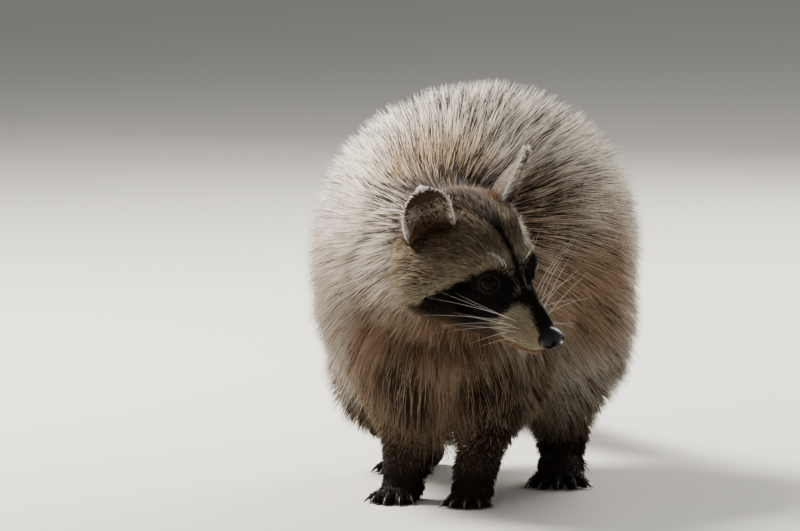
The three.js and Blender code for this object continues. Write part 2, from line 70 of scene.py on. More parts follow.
# The dark face marking seen from the side: places along the head, and its upper and lower edge.
MASK = {"along": (-46, -40, -37, -35, -31, -27, -23, -18, -13, -7, -1, 3, 5, 9, 12, 14, 17, 23, 29, 36, 44),
        "top": (-33, -29, -25, -21, -17, -12, -7, -2, 3, 9, 13, 10, 6, -2, -7, 30, 30, 30, 30, 30, 30),
        "bottom": (-30, -31, -34, -38, -43, -45, -45, -43, -40, -36, -31, -28, -26, -21, -17, -13,
                   -10, -12, -17, -23, -32)}
NOSE = {"centre": (42, 0, -29.5), "radii": (8, 9.5, 7.2), "nostril": 2.7}
MOUTH = {"at": (16, 0, -39.5), "slope": 0.05, "smile": 0.012, "turns_up": 14, "corner": 4,
         "half": 0.9, "deep": 3.5}
EAR = {"base": (-48, 35, 17), "tip": (-47, 55, 64), "faces": (0.82, 0.5, 0.1),
       "half_width": 19.5, "widest": 0.35, "closes": 1.003, "power": 2.4, "cup": 10, "thickness": 6,
       "rooted": -0.28}
EAR_FOOT = (-36, 38, 6)  # the place in front of an ear's base where longer hair covers it

FORELEG = {
    "left": {"joints": ((52, 18, 128), (50, 26, 84), (28, -2, 24)), "paw": (27, -10), "turn": 4},
    "right": {"joints": ((-50, 18, 128), (-37, 26, 84), (-24, 4, 24)), "paw": (-27, 0), "turn": -8},
}
FORELEG_RADII = (42, 26, 13)
HINDLEG = {
    "left": {"joints": ((56, 158, 128), (60, 130, 78), (61, 146, 30)), "paw": (65, 116), "turn": 10},
    "right": {"joints": ((-58, 192, 128), (-76, 168, 63), (-58, 194, 30)), "paw": (-56, 172), "turn": -6},
}
HINDLEG_RADII = (50, 38, 17)
LEG_BLEND = 18
PARTS_BLEND = 20  # of trunk, neck, head and tail in the outline
FLESH_BLEND = {"body": 16, "head": 9}  # of the same parts in the skin

FOREPAW = {"palm": (15, 18, 12), "back": 4, "toe": (4.7, 10), "reach": 11, "claw": 9, "behind": 72}
HINDPAW = {"palm": (17, 33, 14), "back": 12, "toe": (5, 10), "reach": 18, "claw": 10, "behind": 88}
TOES = ((-40, 0.7), (-20, 0.93), (0, 1.0), (20, 0.93), (40, 0.7))  # turn in degrees, share of length

TAIL = [
    ((0, 262, 196), 24), ((-3, 312, 142), 29), ((-13, 364, 92), 33), ((-32, 420, 62), 34),
    ((-54, 474, 48), 32), ((-72, 516, 42), 24), ((-84, 548, 41), 4),
]
TAIL_BANDS = (0.17, 0.25, 0.32, 0.41, 0.48, 0.57, 0.64, 0.73, 0.80, 1.0)
RING_WIDER = 0.01  # share of the tail's length by which a dark ring's hair passes its band

# How deep the skin lies under the outline of the coat.
COAT = {"trunk": 27, "neck": 19, "foreleg": (22, 13, 4), "hindleg": (24, 20, 6), "tail": 11}
FULLER = {"at": (84, 140, 98), "half": (50, 86, 46), "by": 11}
PAW_JOIN = 24  # the height at which a leg's skin meets the paw's
SOLE = 0.2

# Nets of the skin: low corner, high corner and cell. A paw's is measured from the paw's place.
BODY_NET = ((-130, -120, 6), (130, 560, 280), 4.0)
HEAD_NET = ((-40, -190, 110), (140, -30, 250), 1.15)
PAW_NET = {"beside": 34, "ahead": 44, "low": -3, "high": 44, "cell": 1.4}

# Markings of the body's coat: the middle of each and its half sizes.
SADDLE = ((-6, 12, 250), (52, 48, 40))
NAPE = (((24, -30, 236), (50, 40, 34)), ((40, -88, 218), (44, 40, 34)))
WITHERS = ((84, 28, 212), (34, 46, 50))
SHINS = (((-18, -34, 72), (26, 44, 48)), ((46, -14, 64), (28, 44, 48)))

# ---------------------------------------------------------------- small tools


def unit(v):
    """Vectors along the last axis, brought to length one."""
    v = np.asarray(v, float)
    return v / np.maximum(np.linalg.norm(v, axis=-1, keepdims=True), 1e-9)


def smooth(low, high, x):
    """0 below low, 1 above high, with an S-shaped rise between (high may be below low)."""
    t = np.clip((np.asarray(x, float) - low) / (high - low), 0, 1)
    return t * t * (3 - 2 * t)


def turn_matrix(yaw, pitch, roll):
    """Rotation about Z, then about the turned Y, then about the turned X, in degrees."""
    y, p, r = (math.radians(v) for v in (yaw, pitch, roll))
    about_z = np.array([[math.cos(y), -math.sin(y), 0], [math.sin(y), math.cos(y), 0], [0, 0, 1]])
    about_y = np.array([[math.cos(p), 0, math.sin(p)], [0, 1, 0], [-math.sin(p), 0, math.cos(p)]])
    about_x = np.array([[1, 0, 0], [0, math.cos(r), -math.sin(r)], [0, math.sin(r), math.cos(r)]])
    return about_z @ about_y @ about_x


HEAD_AXES = turn_matrix(HEAD_TURN["yaw"] - 90, HEAD_TURN["pitch"], HEAD_TURN["roll"])


def to_head(points):
    """Head coordinates: forward, left and up from the point between the eyes."""
    return (points - np.array(HEAD_AT)) @ HEAD_AXES


def from_head(points):
    """The way back from head coordinates to the body's frame."""
    return np.asarray(points, float) @ HEAD_AXES.T + np.array(HEAD_AT)


def mirrored(point, side):
    """A head point on the side asked for: the second coordinate changes its sign."""
    return np.array([point[0], point[1] * side, point[2]], float)


# The body's frame is the row frame moved by this much, read off the left eye's solid.
eye_low, eye_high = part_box("eye_left")
SHIFT = np.array((eye_low + eye_high) / 2) * 1000 - from_head(mirrored(EYE["centre"], 1))


def metres(points):
    """Body millimetres to row metres."""
    return (points + SHIFT) / 1000


# ---------------------------------------------------------------- fields: distance, negative inside


def ellipsoid(points, centre, radii):
    """k(k-1)/|grad k|, where k is the length of the offset divided by the half sizes."""
    d = points - np.array(centre)
    k = np.linalg.norm(d / np.array(radii), axis=-1)
    steep = np.linalg.norm(d / np.array(radii) ** 2, axis=-1)
    return np.where(steep > 1e-9, k * (k - 1) / np.maximum(steep, 1e-9), -min(radii))


def taper(points, a, b, ra, rb):
    """Distance to the segment a-b, less a radius that changes evenly along it."""
    a, b = np.array(a, float), np.array(b, float)
    ab = b - a
    t = np.clip(((points - a) @ ab) / (ab @ ab), 0, 1)
    away = np.linalg.norm(points - a - t[..., None] * ab, axis=-1)
    return away - (ra + t * (rb - ra))


def joined(width, *fields):
    """Smooth minimum: the lower field, less h*h*width/4 where h says how close the two are."""
    d = fields[0]
    for e in fields[1:]:
        h = np.maximum(width - np.abs(d - e), 0) / width
        d = np.minimum(d, e) - h * h * width / 4
    return d


def hollowed(width, field, hole):
    """Smooth maximum of a field and the outside of a hole."""
    h = np.maximum(width - np.abs(field + hole), 0) / width
    return np.maximum(field, -hole) + h * h * width / 4


def patch(points, centre, half_sizes):
    """1 in the middle of an egg-shaped place, fading to 0 a little beyond its half sizes."""
    away = np.linalg.norm((points - np.array(centre)) / np.array(half_sizes), axis=1)
    return smooth(1.25, 0.55, away)


def catmull(points, share):
    """A smooth curve through the points; share runs evenly over them from 0 to 1."""
    p = np.array(points, float)
    p = np.vstack([2 * p[0] - p[1], p, 2 * p[-1] - p[-2]])
    place = np.clip(np.asarray(share, float), 0, 1) * (len(p) - 3)
    i = np.minimum(place.astype(int), len(p) - 4)
    t = (place - i)[..., None]
    a, b, c, d = p[i], p[i + 1], p[i + 2], p[i + 3]
    return 0.5 * (2 * b + (c - a) * t + (2 * a - 5 * b + 4 * c - d) * t ** 2
                  + (3 * b - a - 3 * c + d) * t ** 3)


TAIL_STEPS = 48
TAIL_POINTS = [at for at, _ in TAIL]
TAIL_SHARES = np.linspace(0, 1, TAIL_STEPS + 1)
TAIL_LINE = catmull(TAIL_POINTS, TAIL_SHARES)
TAIL_RADII = np.interp(TAIL_SHARES * (len(TAIL) - 1), range(len(TAIL)), [r for _, r in TAIL])


def along_tail(points):
    """For each point: its share of the tail's length, and its distance to the middle line."""
    best = np.full(len(points), 1e9)
    share = np.zeros(len(points))
    for i in range(TAIL_STEPS):
        a, b = TAIL_LINE[i], TAIL_LINE[i + 1]
        ab = b - a
        t = np.clip(((points - a) @ ab) / (ab @ ab), 0, 1)
        away = np.linalg.norm(points - a - t[:, None] * ab, axis=-1)
        closer = away < best
        best = np.where(closer, away, best)
        share = np.where(closer, (i + t) / TAIL_STEPS, share)
    return share, best


def trunk_field(points):
    """The five masses of the trunk, joined smoothly."""
    return joined(TRUNK_BLEND, *(ellipsoid(points, c, r) for c, r in TRUNK))


def leg_field(points, joints, radii):
    """Three rods from the shoulder or hip to the floor."""
    top, middle, low = joints
    floor = (low[0], low[1], 0)
    return joined(LEG_BLEND, taper(points, top, middle, radii[0], radii[1]),
                  taper(points, middle, low, radii[1], radii[2]),
                  taper(points, low, floor, radii[2], radii[2]))


def head_outline(q):
    """The head with its coat, in head coordinates."""
    pairs = []
    for s in SIDES.values():
        pairs += [ellipsoid(q, mirrored(CHEEK[0], s), CHEEK[1]),
                  ellipsoid(q, mirrored(BROW[0], s), BROW[1])]
    flesh = joined(HEAD_BLEND, ellipsoid(q, *SKULL), *pairs, taper(q, *MUZZLE), taper(q, *JAW))
    for s in SIDES.values():
        out = mirrored(EYE["centre"], s) + mirrored((7, 9, 1), s)
        hole = ellipsoid(q, out, (EYE["socket"], EYE["socket"], EYE["socket"] * 0.7))
        flesh = hollowed(6, flesh, hole)
    return flesh


def head_depth(q):
    """Short hair on the muzzle, longer over the crown, longest on the cheeks."""
    f, u = q[..., 0], q[..., 2]
    back = smooth(12, -45, f)
    cheek = smooth(6, -22, u) * smooth(-36, -64, f)
    return 1.8 + 3.4 * back + 8 * cheek


FEET = [(kind, side) for kind in ("fore", "hind") for side in SIDES]


def coat_edge(points):
    """Where the tips of the hair end: the outline, a little fuller over the haunches and the
    lower flanks, where long soft hair stands off."""
    folded = np.stack([np.abs(points[..., 0]), points[..., 1], points[..., 2]], -1)
    return outline(points) - FULLER["by"] * patch(folded, FULLER["at"], FULLER["half"])


def tail_field(points, share_of_radius=1.0, core=None):
    """The tail as a rod of changing radius; core caps the radius for the flesh inside."""
    share, away = along_tail(points)
    radius = np.interp(share, TAIL_SHARES, TAIL_RADII) * share_of_radius
    if core is not None:
        radius = np.minimum(radius * 0.6, core * (1 - 0.6 * share))
    return away - radius


def outline(points):
    """The outline of the coat over the whole animal, as the solids have it."""
    legs_now = [leg_field(points, leg(k, s)["joints"], leg_radii(k)) for k, s in FEET]
    body = joined(LEG_BLEND, trunk_field(points), *legs_now)
    return joined(PARTS_BLEND, body, taper(points, *NECK), head_outline(to_head(points)),
                  tail_field(points))


# ---------------------------------------------------------------- the skin under the coat


def head_skin(q):
    """The head's flesh: the outline less the hair's depth, with lids, lips and whisker pads."""
    flesh = head_outline(q) + head_depth(q)
    for s in SIDES.values():
        flesh = joined(5, flesh, ellipsoid(q, mirrored(PAD[0], s), PAD[1]))
    for s in SIDES.values():
        local = to_eye(q, s)
        lid = np.linalg.norm(local, axis=-1) - (EYE["radius"] + LID["thick"])
        flesh = joined(LID["blend"], flesh, lid)
        flesh = hollowed(1.0, flesh, ellipsoid(local, LID["opening"][0], LID["opening"][1]))
    f, u = q[..., 0], q[..., 2]
    groove = np.maximum.reduce([np.abs(u - mouth_height(f)) - MOUTH["half"],
                                -(flesh + MOUTH["deep"]), MOUTH["corner"] - f])
    flesh = hollowed(0.8, flesh, groove)
    philtrum = taper(q, (48, 0, -36), (43.5, 0, mouth_height(43)), 1.0, 0.9)
    return hollowed(1.0, flesh, philtrum)


def mouth_height(f):
    """The height of the mouth's line at a place along the muzzle, rising to its corner."""
    rise = MOUTH["smile"] * np.maximum(0, MOUTH["turns_up"] - f) ** 2
    return MOUTH["at"][2] + MOUTH["slope"] * (f - MOUTH["at"][0]) + rise


def eye_axes(side):
    """Rows: the way the eye looks, across it, and up it, in head coordinates."""
    look = unit(mirrored(EYE["look"], side))
    across = unit(np.cross((0, 0, 1), look))
    return np.array([look, across, np.cross(look, across)])


def to_eye(q, side):
    """Coordinates about an eyeball's centre: outwards along its gaze, across and up."""
    return (q - mirrored(EYE["centre"], side)) @ eye_axes(side).T


def leg(kind, side):
    """The dimensions of one leg."""
    return (FORELEG if kind == "fore" else HINDLEG)[side]


def leg_radii(kind, skin=False):
    """The radii of a leg at its three joints, with its coat or at the skin."""
    radii = FORELEG_RADII if kind == "fore" else HINDLEG_RADII
    return tuple(r - (d if skin else 0) for r, d in zip(radii, COAT[kind + "leg"]))


def paw_size(kind):
    """The dimensions of a fore or hind paw."""
    return FOREPAW if kind == "fore" else HINDPAW


def flesh_parts(points, front_only=False):
    """The flesh of each part of the body as its own field, by name."""
    parts = {"trunk": trunk_field(points) + COAT["trunk"],
             "neck": taper(points, *NECK) + COAT["neck"],
             "head": head_skin(to_head(points))}
    if not front_only:
        parts["tail"] = tail_field(points, core=COAT["tail"])
        for k, s in FEET:
            parts[f"{k}leg_{s}"] = leg_field(points, leg(k, s)["joints"], leg_radii(k, skin=True))
    return parts


def skin_field(points, front_only=False):
    """All the flesh but the paws and ears, joined smoothly."""
    parts = flesh_parts(points, front_only)
    body = joined(FLESH_BLEND["body"], *(parts[n] for n in parts if n != "head"))
    return joined(FLESH_BLEND["head"], body, parts["head"])


SEAM_AT = np.array((24, -62, 178))  # where the body's net hands over to the head's finer one
SEAM_ALONG = unit((0.42, -0.9, 0.1))
SEAM_OVERLAP = 16  # how far each net runs past the seam


def seam(points):
    """Distance in front of the seam, towards the head."""
    return (points - SEAM_AT) @ SEAM_ALONG


def body_shell(points):
    """The flesh behind the seam and above the paws, a little proud of the head's shell there."""
    s = seam(points)
    proud = np.clip(0.4 * s, -1.2, 4)
    above_paws = PAW_JOIN - 8 - points[..., 2]
    return np.maximum.reduce([skin_field(points) + proud, s - SEAM_OVERLAP, above_paws])


def head_shell(points):
    """The flesh in front of the seam, and a plug that reaches back into the neck."""
    s = seam(points)
    flesh = skin_field(points, front_only=True) + np.clip(-0.4 * s, 0, 4)
    return np.maximum(flesh, -SEAM_OVERLAP - s)


def toe_places(kind, side):
    """For each toe: its turn as a unit vector, where it starts, and its length."""
    size, here = paw_size(kind), leg(kind, side)
    for turn, share in TOES:
        angle = math.radians(turn + here["turn"])
        way = np.array((math.sin(angle), -math.cos(angle), 0))
        start = np.array((*here["paw"], 0)) + way * (size["reach"] - 4)
        yield way, start, size["toe"][1] * share * 1.45 + 4


def paw_shell(kind, side):
    """A field for one paw: palm, knuckled toes and a stem up into the leg, flat underneath."""
    size, here = paw_size(kind), leg(kind, side)
    heading = math.radians(here["turn"])
    back = np.array((here["paw"][0] - math.sin(heading) * size["back"],
                     here["paw"][1] + math.cos(heading) * size["back"], 0))
    turned = turn_matrix(here["turn"], 0, 0)
    wide, long, high = size["palm"]
    thick = size["toe"][0]
    low = np.array(here["joints"][2], float)
    radius = leg_radii(kind, skin=True)[2]

    def field(points):
        local = (points - back) @ turned
        palm = ellipsoid(local, (0, 0, high - 2), (wide - 1.5, long - 1.5, high - 1.5))
        stem = taper(points, (low[0], low[1], PAW_JOIN + 14), (low[0], low[1], PAW_JOIN - 12),
                     radius - 3, radius + 2)
        fields = [stem, palm]
        for way, start, length in toe_places(kind, side):
            knuckle = start + way * length * 0.45 + np.array((0, 0, thick + 2.4))
            root = start - way * 4 + np.array((0, 0, high * 0.62))
            tip = start + way * length + np.array((0, 0, thick - 1.2))
            toe = joined(2, taper(points, root, knuckle, thick - 0.6, thick - 1.1),
                         taper(points, knuckle, tip, thick - 1.1, thick - 1.5))
            fields.append(toe)
        flesh = joined(7, fields[0], fields[1])
        flesh = joined(2.6, flesh, joined(0.8, *fields[2:]))
        return np.maximum(flesh, SOLE - points[..., 2])

    return field


def net_of(field, low, high, cell, settle_rounds=3):
    """A closed net of quads on a field's zero surface: one point in each grid cell that the
    surface crosses, at the mean of its edge crossings, then moved onto the surface by Newton
    steps; each crossed grid edge gives one quad between the four cells round it."""
    axes = [np.arange(a, b + cell, cell) for a, b in zip(low, high)]
    grid = np.stack(np.meshgrid(*axes, indexing="ij"), -1)
    values = field(grid.reshape(-1, 3)).reshape(grid.shape[:3])
    for a in range(3):
        ends = [slice(None)] * 3
        for end in (0, -1):
            ends[a] = end
            values[tuple(ends)] = cell
    inside = values <= 0
    cells = tuple(n - 1 for n in values.shape)
    total, count = np.zeros(cells + (3,)), np.zeros(cells)
    quads = []
    for a in range(3):
        b, c = (a + 1) % 3, (a + 2) % 3
        first = tuple(slice(0, -1) if n == a else slice(None) for n in range(3))
        last = tuple(slice(1, None) if n == a else slice(None) for n in range(3))
        crossed = np.argwhere(inside[first] != inside[last])
        v0 = values[tuple(crossed.T)]
        step = np.eye(3, dtype=int)
        v1 = values[tuple((crossed + step[a]).T)]
        place = crossed.astype(float)
        place[:, a] += v0 / (v0 - v1)
        ring = []
        for db, dc in ((1, 1), (0, 1), (0, 0), (1, 0)):
            at = crossed - db * step[b] - dc * step[c]
            np.add.at(total, tuple(at.T), place)
            np.add.at(count, tuple(at.T), 1)
            ring.append(at)
        ring = np.stack(ring, 1)
        ring[v0 > 0] = ring[v0 > 0][:, ::-1]
        quads.append(ring)
    used = count > 0
    number = np.full(cells, -1)
    number[used] = np.arange(used.sum())
    points = np.array(low) + total[used] / count[used][:, None] * cell
    for _ in range(settle_rounds):
        d = field(points)
        slope = gradient(field, points, d)
        step_size = np.clip(d, -0.35 * cell, 0.35 * cell) / np.maximum((slope ** 2).sum(1), 0.2)
        points = points - slope * step_size[:, None]
    quads = np.concatenate(quads)
    return points, number[tuple(quads.reshape(-1, 3).T)].reshape(-1, 4)


def gradient(field, points, here=None, step=0.25):
    """Forward differences of a field at the points."""
    here = field(points) if here is None else here
    return np.stack([(field(points + np.eye(3)[a] * step) - here) / step for a in range(3)], -1)


def ear_surface(side, across=40, up=30):
    """A closed leaf-shaped cup. Each cross-section is a flat loop of half width w(v), bent by
    cup*(1-u*u) and a wall thick; v runs from the root to the tip along the ear's rise."""
    v = np.linspace(EAR["rooted"], 1, up)[:, None]
    turn = np.linspace(0, 2 * math.pi, across, endpoint=False)[None, :]
    u = np.cos(turn) + 0 * v
    points = ear_place(u, v + 0 * turn, np.sin(turn) + 0 * v, side)
    grid = np.arange(across * up).reshape(up, across)
    here, right = grid[:-1], np.roll(grid, -1, 1)[:-1]
    above, above_right = grid[1:], np.roll(grid, -1, 1)[1:]
    quads = np.stack([here, right, above_right, above], -1).reshape(-1, 4)
    if side < 0:
        quads = quads[:, ::-1]
    ends = [grid[0][::-1], grid[-1]] if side > 0 else [grid[0], grid[-1][::-1]]
    return points.reshape(-1, 3), quads, ends


def ear_axes(side):
    """The ear's base, and rows: its rise, its width and the way its cup faces, with its length."""
    base, tip = mirrored(EAR["base"], side), mirrored(EAR["tip"], side)
    rise = unit(tip - base)
    wide = unit(np.cross(rise, mirrored(EAR["faces"], side))) * side
    return base, np.array([rise, wide, np.cross(wide, rise) * side]), np.linalg.norm(tip - base)


def ear_half_width(v):
    """Half the ear's width at a share of its height: a leaf that ends in a round tip."""
    from_widest = np.abs(v - EAR["widest"]) / (EAR["closes"] - EAR["widest"])
    return (EAR["half_width"] - 1.5) * np.sqrt(np.clip(1.0 - from_widest ** EAR["power"], 0, 1))


def ear_curl(u, v):
    """How far the middle of the leaf lies behind its edges."""
    return EAR["cup"] * (1 - u * u) * (0.35 + 0.65 * np.sin(math.pi * np.minimum(1, v + 0.25)))


def ear_place(u, v, wall, side):
    """A point of the ear in the body's frame: u across it, v up it, wall from back to front."""
    base, (rise, wide, face), long = ear_axes(side)
    thick = (EAR["thickness"] / 2 - 1.2) * (1 - 0.3 * v)
    off = wall * thick - ear_curl(u, v)
    q = (base + rise * (v * (long - 2))[..., None] + wide * (u * ear_half_width(v))[..., None]
         + face * off[..., None])
    return from_head(q)


# ---------------------------------------------------------------- from points to meshes


def new_mesh(name, points, faces, smooth_shaded=True):
    """An object at the origin whose mesh has its place in it: points in metres, and faces as
    a list of index arrays, one array for each number of corners."""
    mesh = bpy.data.meshes.new(name)
    loops = np.concatenate([f.ravel() for f in faces])
    sizes = np.concatenate([np.full(len(f), f.shape[1]) for f in faces])
    mesh.vertices.add(len(points))
    mesh.vertices.foreach_set("co", np.ascontiguousarray(points, np.float32).ravel())
    mesh.loops.add(len(loops))
    mesh.loops.foreach_set("vertex_index", loops.astype(np.int32))
    mesh.polygons.add(len(sizes))
    starts = np.concatenate([[0], np.cumsum(sizes)[:-1]])
    mesh.polygons.foreach_set("loop_start", starts.astype(np.int32))
    mesh.polygons.foreach_set("use_smooth", np.full(len(sizes), smooth_shaded))
    mesh.update(calc_edges=True)
    piece = bpy.data.objects.new(name, mesh)
    bpy.context.scene.collection.objects.link(piece)
    return piece


def fan(ring):
    """Triangles that close a ring of point numbers."""
    return np.array([(ring[0], ring[i], ring[i + 1]) for i in range(1, len(ring) - 1)])


def join_shells(name, shells):
    """The union of closed shells, each (points, list of faces), as one skin."""
    pieces = [new_mesh(f"{name}_{n}", metres(p), f) for n, (p, f) in enumerate(shells)]
    skin = pieces[0]
    for other in pieces[1:]:
        cut = skin.modifiers.new("union", "BOOLEAN")
        cut.operation = "UNION"
        cut.object = other
        cut.solver = "MANIFOLD"
    bpy.context.view_layer.update()
    evaluated = skin.evaluated_get(bpy.context.evaluated_depsgraph_get())
    mesh = bpy.data.meshes.new_from_object(evaluated)
    for piece in pieces:
        bpy.data.objects.remove(piece)
    mesh.name = name
    mesh.materials.clear()
    mesh.polygons.foreach_set("use_smooth", np.ones(len(mesh.polygons), bool))
    joined_skin = bpy.data.objects.new(name, mesh)
    bpy.context.scene.collection.objects.link(joined_skin)
    return joined_skin


def build_skin():
    """Body, head, paws and ears as one closed surface."""
    nets = [net_of(body_shell, *BODY_NET), net_of(head_shell, *HEAD_NET)]
    for kind, side in FEET:
        x, y = leg(kind, side)["paw"]
        low = (x - PAW_NET["beside"], y - PAW_NET["ahead"], PAW_NET["low"])
        high = (x + PAW_NET["beside"], y + paw_size(kind)["behind"], PAW_NET["high"])
        nets.append(net_of(paw_shell(kind, side), low, high, PAW_NET["cell"]))
    shells = [(points, [quads]) for points, quads in nets]
    for s in SIDES.values():
        points, quads, ends = ear_surface(s)
        shells.append((points, [quads, np.concatenate([fan(e) for e in ends])]))
    return join_shells("skin", shells)


# ---------------------------------------------------------------- colours of the coat


def linear(hex_colour):
    """A printed colour such as #a08060 as linear light."""
    c = np.array([int(hex_colour[i:i + 2], 16) for i in (1, 3, 5)]) / 255
    return np.where(c <= 0.04045, c / 12.92, ((c + 0.055) / 1.055) ** 2.4)


# oat and straw, the face's pale tones, are held darker than the pale hair itself, as painted shade over the
# face
TINT = {name: linear(code) for name, code in {
    "underfur": "#54473c", "brown": "#5c402b", "umber": "#2a1e16", "black": "#0c0a08",
    "cream": "#dfd3bf", "white": "#faf5ec", "ochre": "#a57b40", "buff": "#bfab8e",
    "fawn": "#8c7156", "soot": "#1f1915", "lip": "#0f0b0a", "ear_inside": "#33231a",
    "ear_hair": "#4c3828", "grey": "#756c5a", "oat": "#a1957b", "straw": "#bdb198",
    "pink": "#9f8a76", "tan": "#a37d57",
}.items()}


def mix(a, b, share):
    """Colours from a to b by a share for each point."""
    share = np.asarray(share, float)[..., None]
    return a * (1 - share) + b * share


def mask_distance(q):
    """Distance above the dark mask's upper edge and below its lower one; both negative inside."""
    f, u = q[:, 0], q[:, 2]
    above = u - np.interp(f, MASK["along"], MASK["top"])
    return 0.8 * above, 0.8 * (np.interp(f, MASK["along"], MASK["bottom"]) - u)


def lay(coat, share, root=None, middle=None, tip=None, strength=(1, 1, 1)):
    """Lays colours over a coat's root, middle and tip by a share; None leaves one as it is."""
    return [old if new is None else mix(old, new, share * k)
            for old, new, k in zip(coat, (root, middle, tip), strength)]


def head_tints(q, pick):
    """Root, middle and tip colours of the head's hair at head coordinates q."""
    f, l, u = q[..., 0], np.abs(q[..., 1]), q[..., 2]
    kind, edge, warm, other = pick.T
    ragged = (edge - 0.5) * 3.0
    above, below = (away + ragged for away in mask_distance(q))
    inside = np.maximum(above, below)
    under_lip = mouth_height(f) - u
    umber, brown, fawn = TINT["umber"], TINT["brown"], TINT["fawn"]

    # the crown: grizzled, dark at the root, with pale or black tips
    pale_tip = smooth(0.45, 0.65, kind)
    grizzle = 0.12 + 0.8 * smooth(0.45, 0.7, warm)
    coat = [np.tile(umber, (len(q), 1)), mix(umber, mix(fawn, TINT["grey"], 0.5), grizzle),
            mix(umber, TINT["oat"], smooth(0.62, 0.72, kind))]

    # the crown's rear: browner, and held darker as painted shade where the light from behind falls on it
    rear = smooth(-28, -46, f) * smooth(8, 24, u)
    coat = lay(coat, rear * 0.95, middle=brown * 0.35, tip=mix(umber, fawn, pale_tip * 0.55))

    # the sides of the head and the ruff: grizzled brown and buff, paler towards the rear edge
    side = smooth(16, 30, l) * smooth(14, 2, u)
    coat = lay(coat, side, middle=mix(umber, TINT["buff"] * 0.6, smooth(0.1, 0.65, warm)),
               tip=mix(brown * 0.8, TINT["straw"] * 0.75, pale_tip))

    # the pale brow over the mask, from the bridge back to the cheek, frayed upwards; its pale tones are held
    # darker as painted shade over the face
    brow = smooth(-0.5, 1.0, above) * smooth(15, 5, above) * smooth(2.6, 4.2, l + ragged * 0.3)
    brow = brow * smooth(14, 10, f) * smooth(-74, -44, f)
    light = brow * (0.6 + 0.4 * smooth(0.2, 0.7, warm))
    coat = lay(coat, light, fawn, TINT["oat"] * 0.75, TINT["straw"] * 0.85, strength=(0.7, 1, 0.9))

    # under the mask: brown, darkened nearly to soot as painted shade under the cheek, then the grizzled
    # cheek
    under = smooth(-0.5, 1.0, below) * smooth(22, 11, below) * smooth(6, -2, f) * smooth(-58, -42, f)
    coat = lay(coat, under, umber, mix(TINT["soot"], brown * 0.6, 0.1 + 0.4 * warm),
               mix(TINT["soot"], brown * 0.7, 0.2 + 0.5 * pale_tip))

    # throat: warm brown
    throat = smooth(-38, -46, u) * smooth(24, 8, f) * (1 - 0.8 * under)
    coat = lay(coat, throat, middle=brown * 0.8, tip=mix(brown, fawn, 0.7 * warm))

    # the muzzle: pale sides down to the mouth, under a dark bridge; the pale tones are held darker as
    # painted shade over the face
    muzzle = smooth(-0.5, 0.8, below) * smooth(-6, 3, f + ragged) * smooth(0.6, -0.2, under_lip)
    light = np.clip(warm * 0.6 + 0.4 * smooth(12, 2, below) + 0.3 * smooth(-30, -38, u), 0, 1)
    coat = lay(coat, muzzle, fawn, mix(TINT["grey"] * 0.7, TINT["oat"] * 0.75, light),
               mix(TINT["grey"] * 0.7, TINT["straw"] * 0.8, light))

    # the lower lip: a thin pale edge over a fawn chin
    chin = smooth(0, 8, f) * smooth(-0.2, 0.6, under_lip)
    shade = mix(mix(umber, fawn, warm), TINT["oat"], smooth(4.0, 2.0, under_lip) * 0.9)
    coat = lay(coat, chin, brown, shade, shade * 1.1)

    # painted shade behind each ear's base: the patch called tuft darkens the hair there to umber and brown
    tuft = smooth(15, 7, np.linalg.norm(np.stack([f + 79, l - 33, u - 3], -1), axis=1))
    coat = lay(coat, tuft, umber, umber, brown, strength=(1, 1, 0.8))

    # the dark stripe down the forehead, which runs into the dark bridge of the muzzle
    half = 2.0 + 2.8 * smooth(4, 18, f) + 9 * smooth(-10, -45, f)
    stripe = smooth(half + 1.2, half - 0.6, l + ragged * 0.5) * smooth(-34, -26, u + 0.35 * (44 - f))
    stripe = stripe * smooth(-44, -36, u) * (1 - 0.8 * smooth(-18, -50, f) * smooth(0.35, 0.6, other))
    over_lip = 1 - smooth(2, 6, f) * smooth(-1.0, -0.2, under_lip)
    dark = np.maximum(smooth(0.8, -0.8, inside), stripe) * over_lip
    return lay(coat, dark, TINT["black"], TINT["black"], mix(TINT["black"], umber, pale_tip))


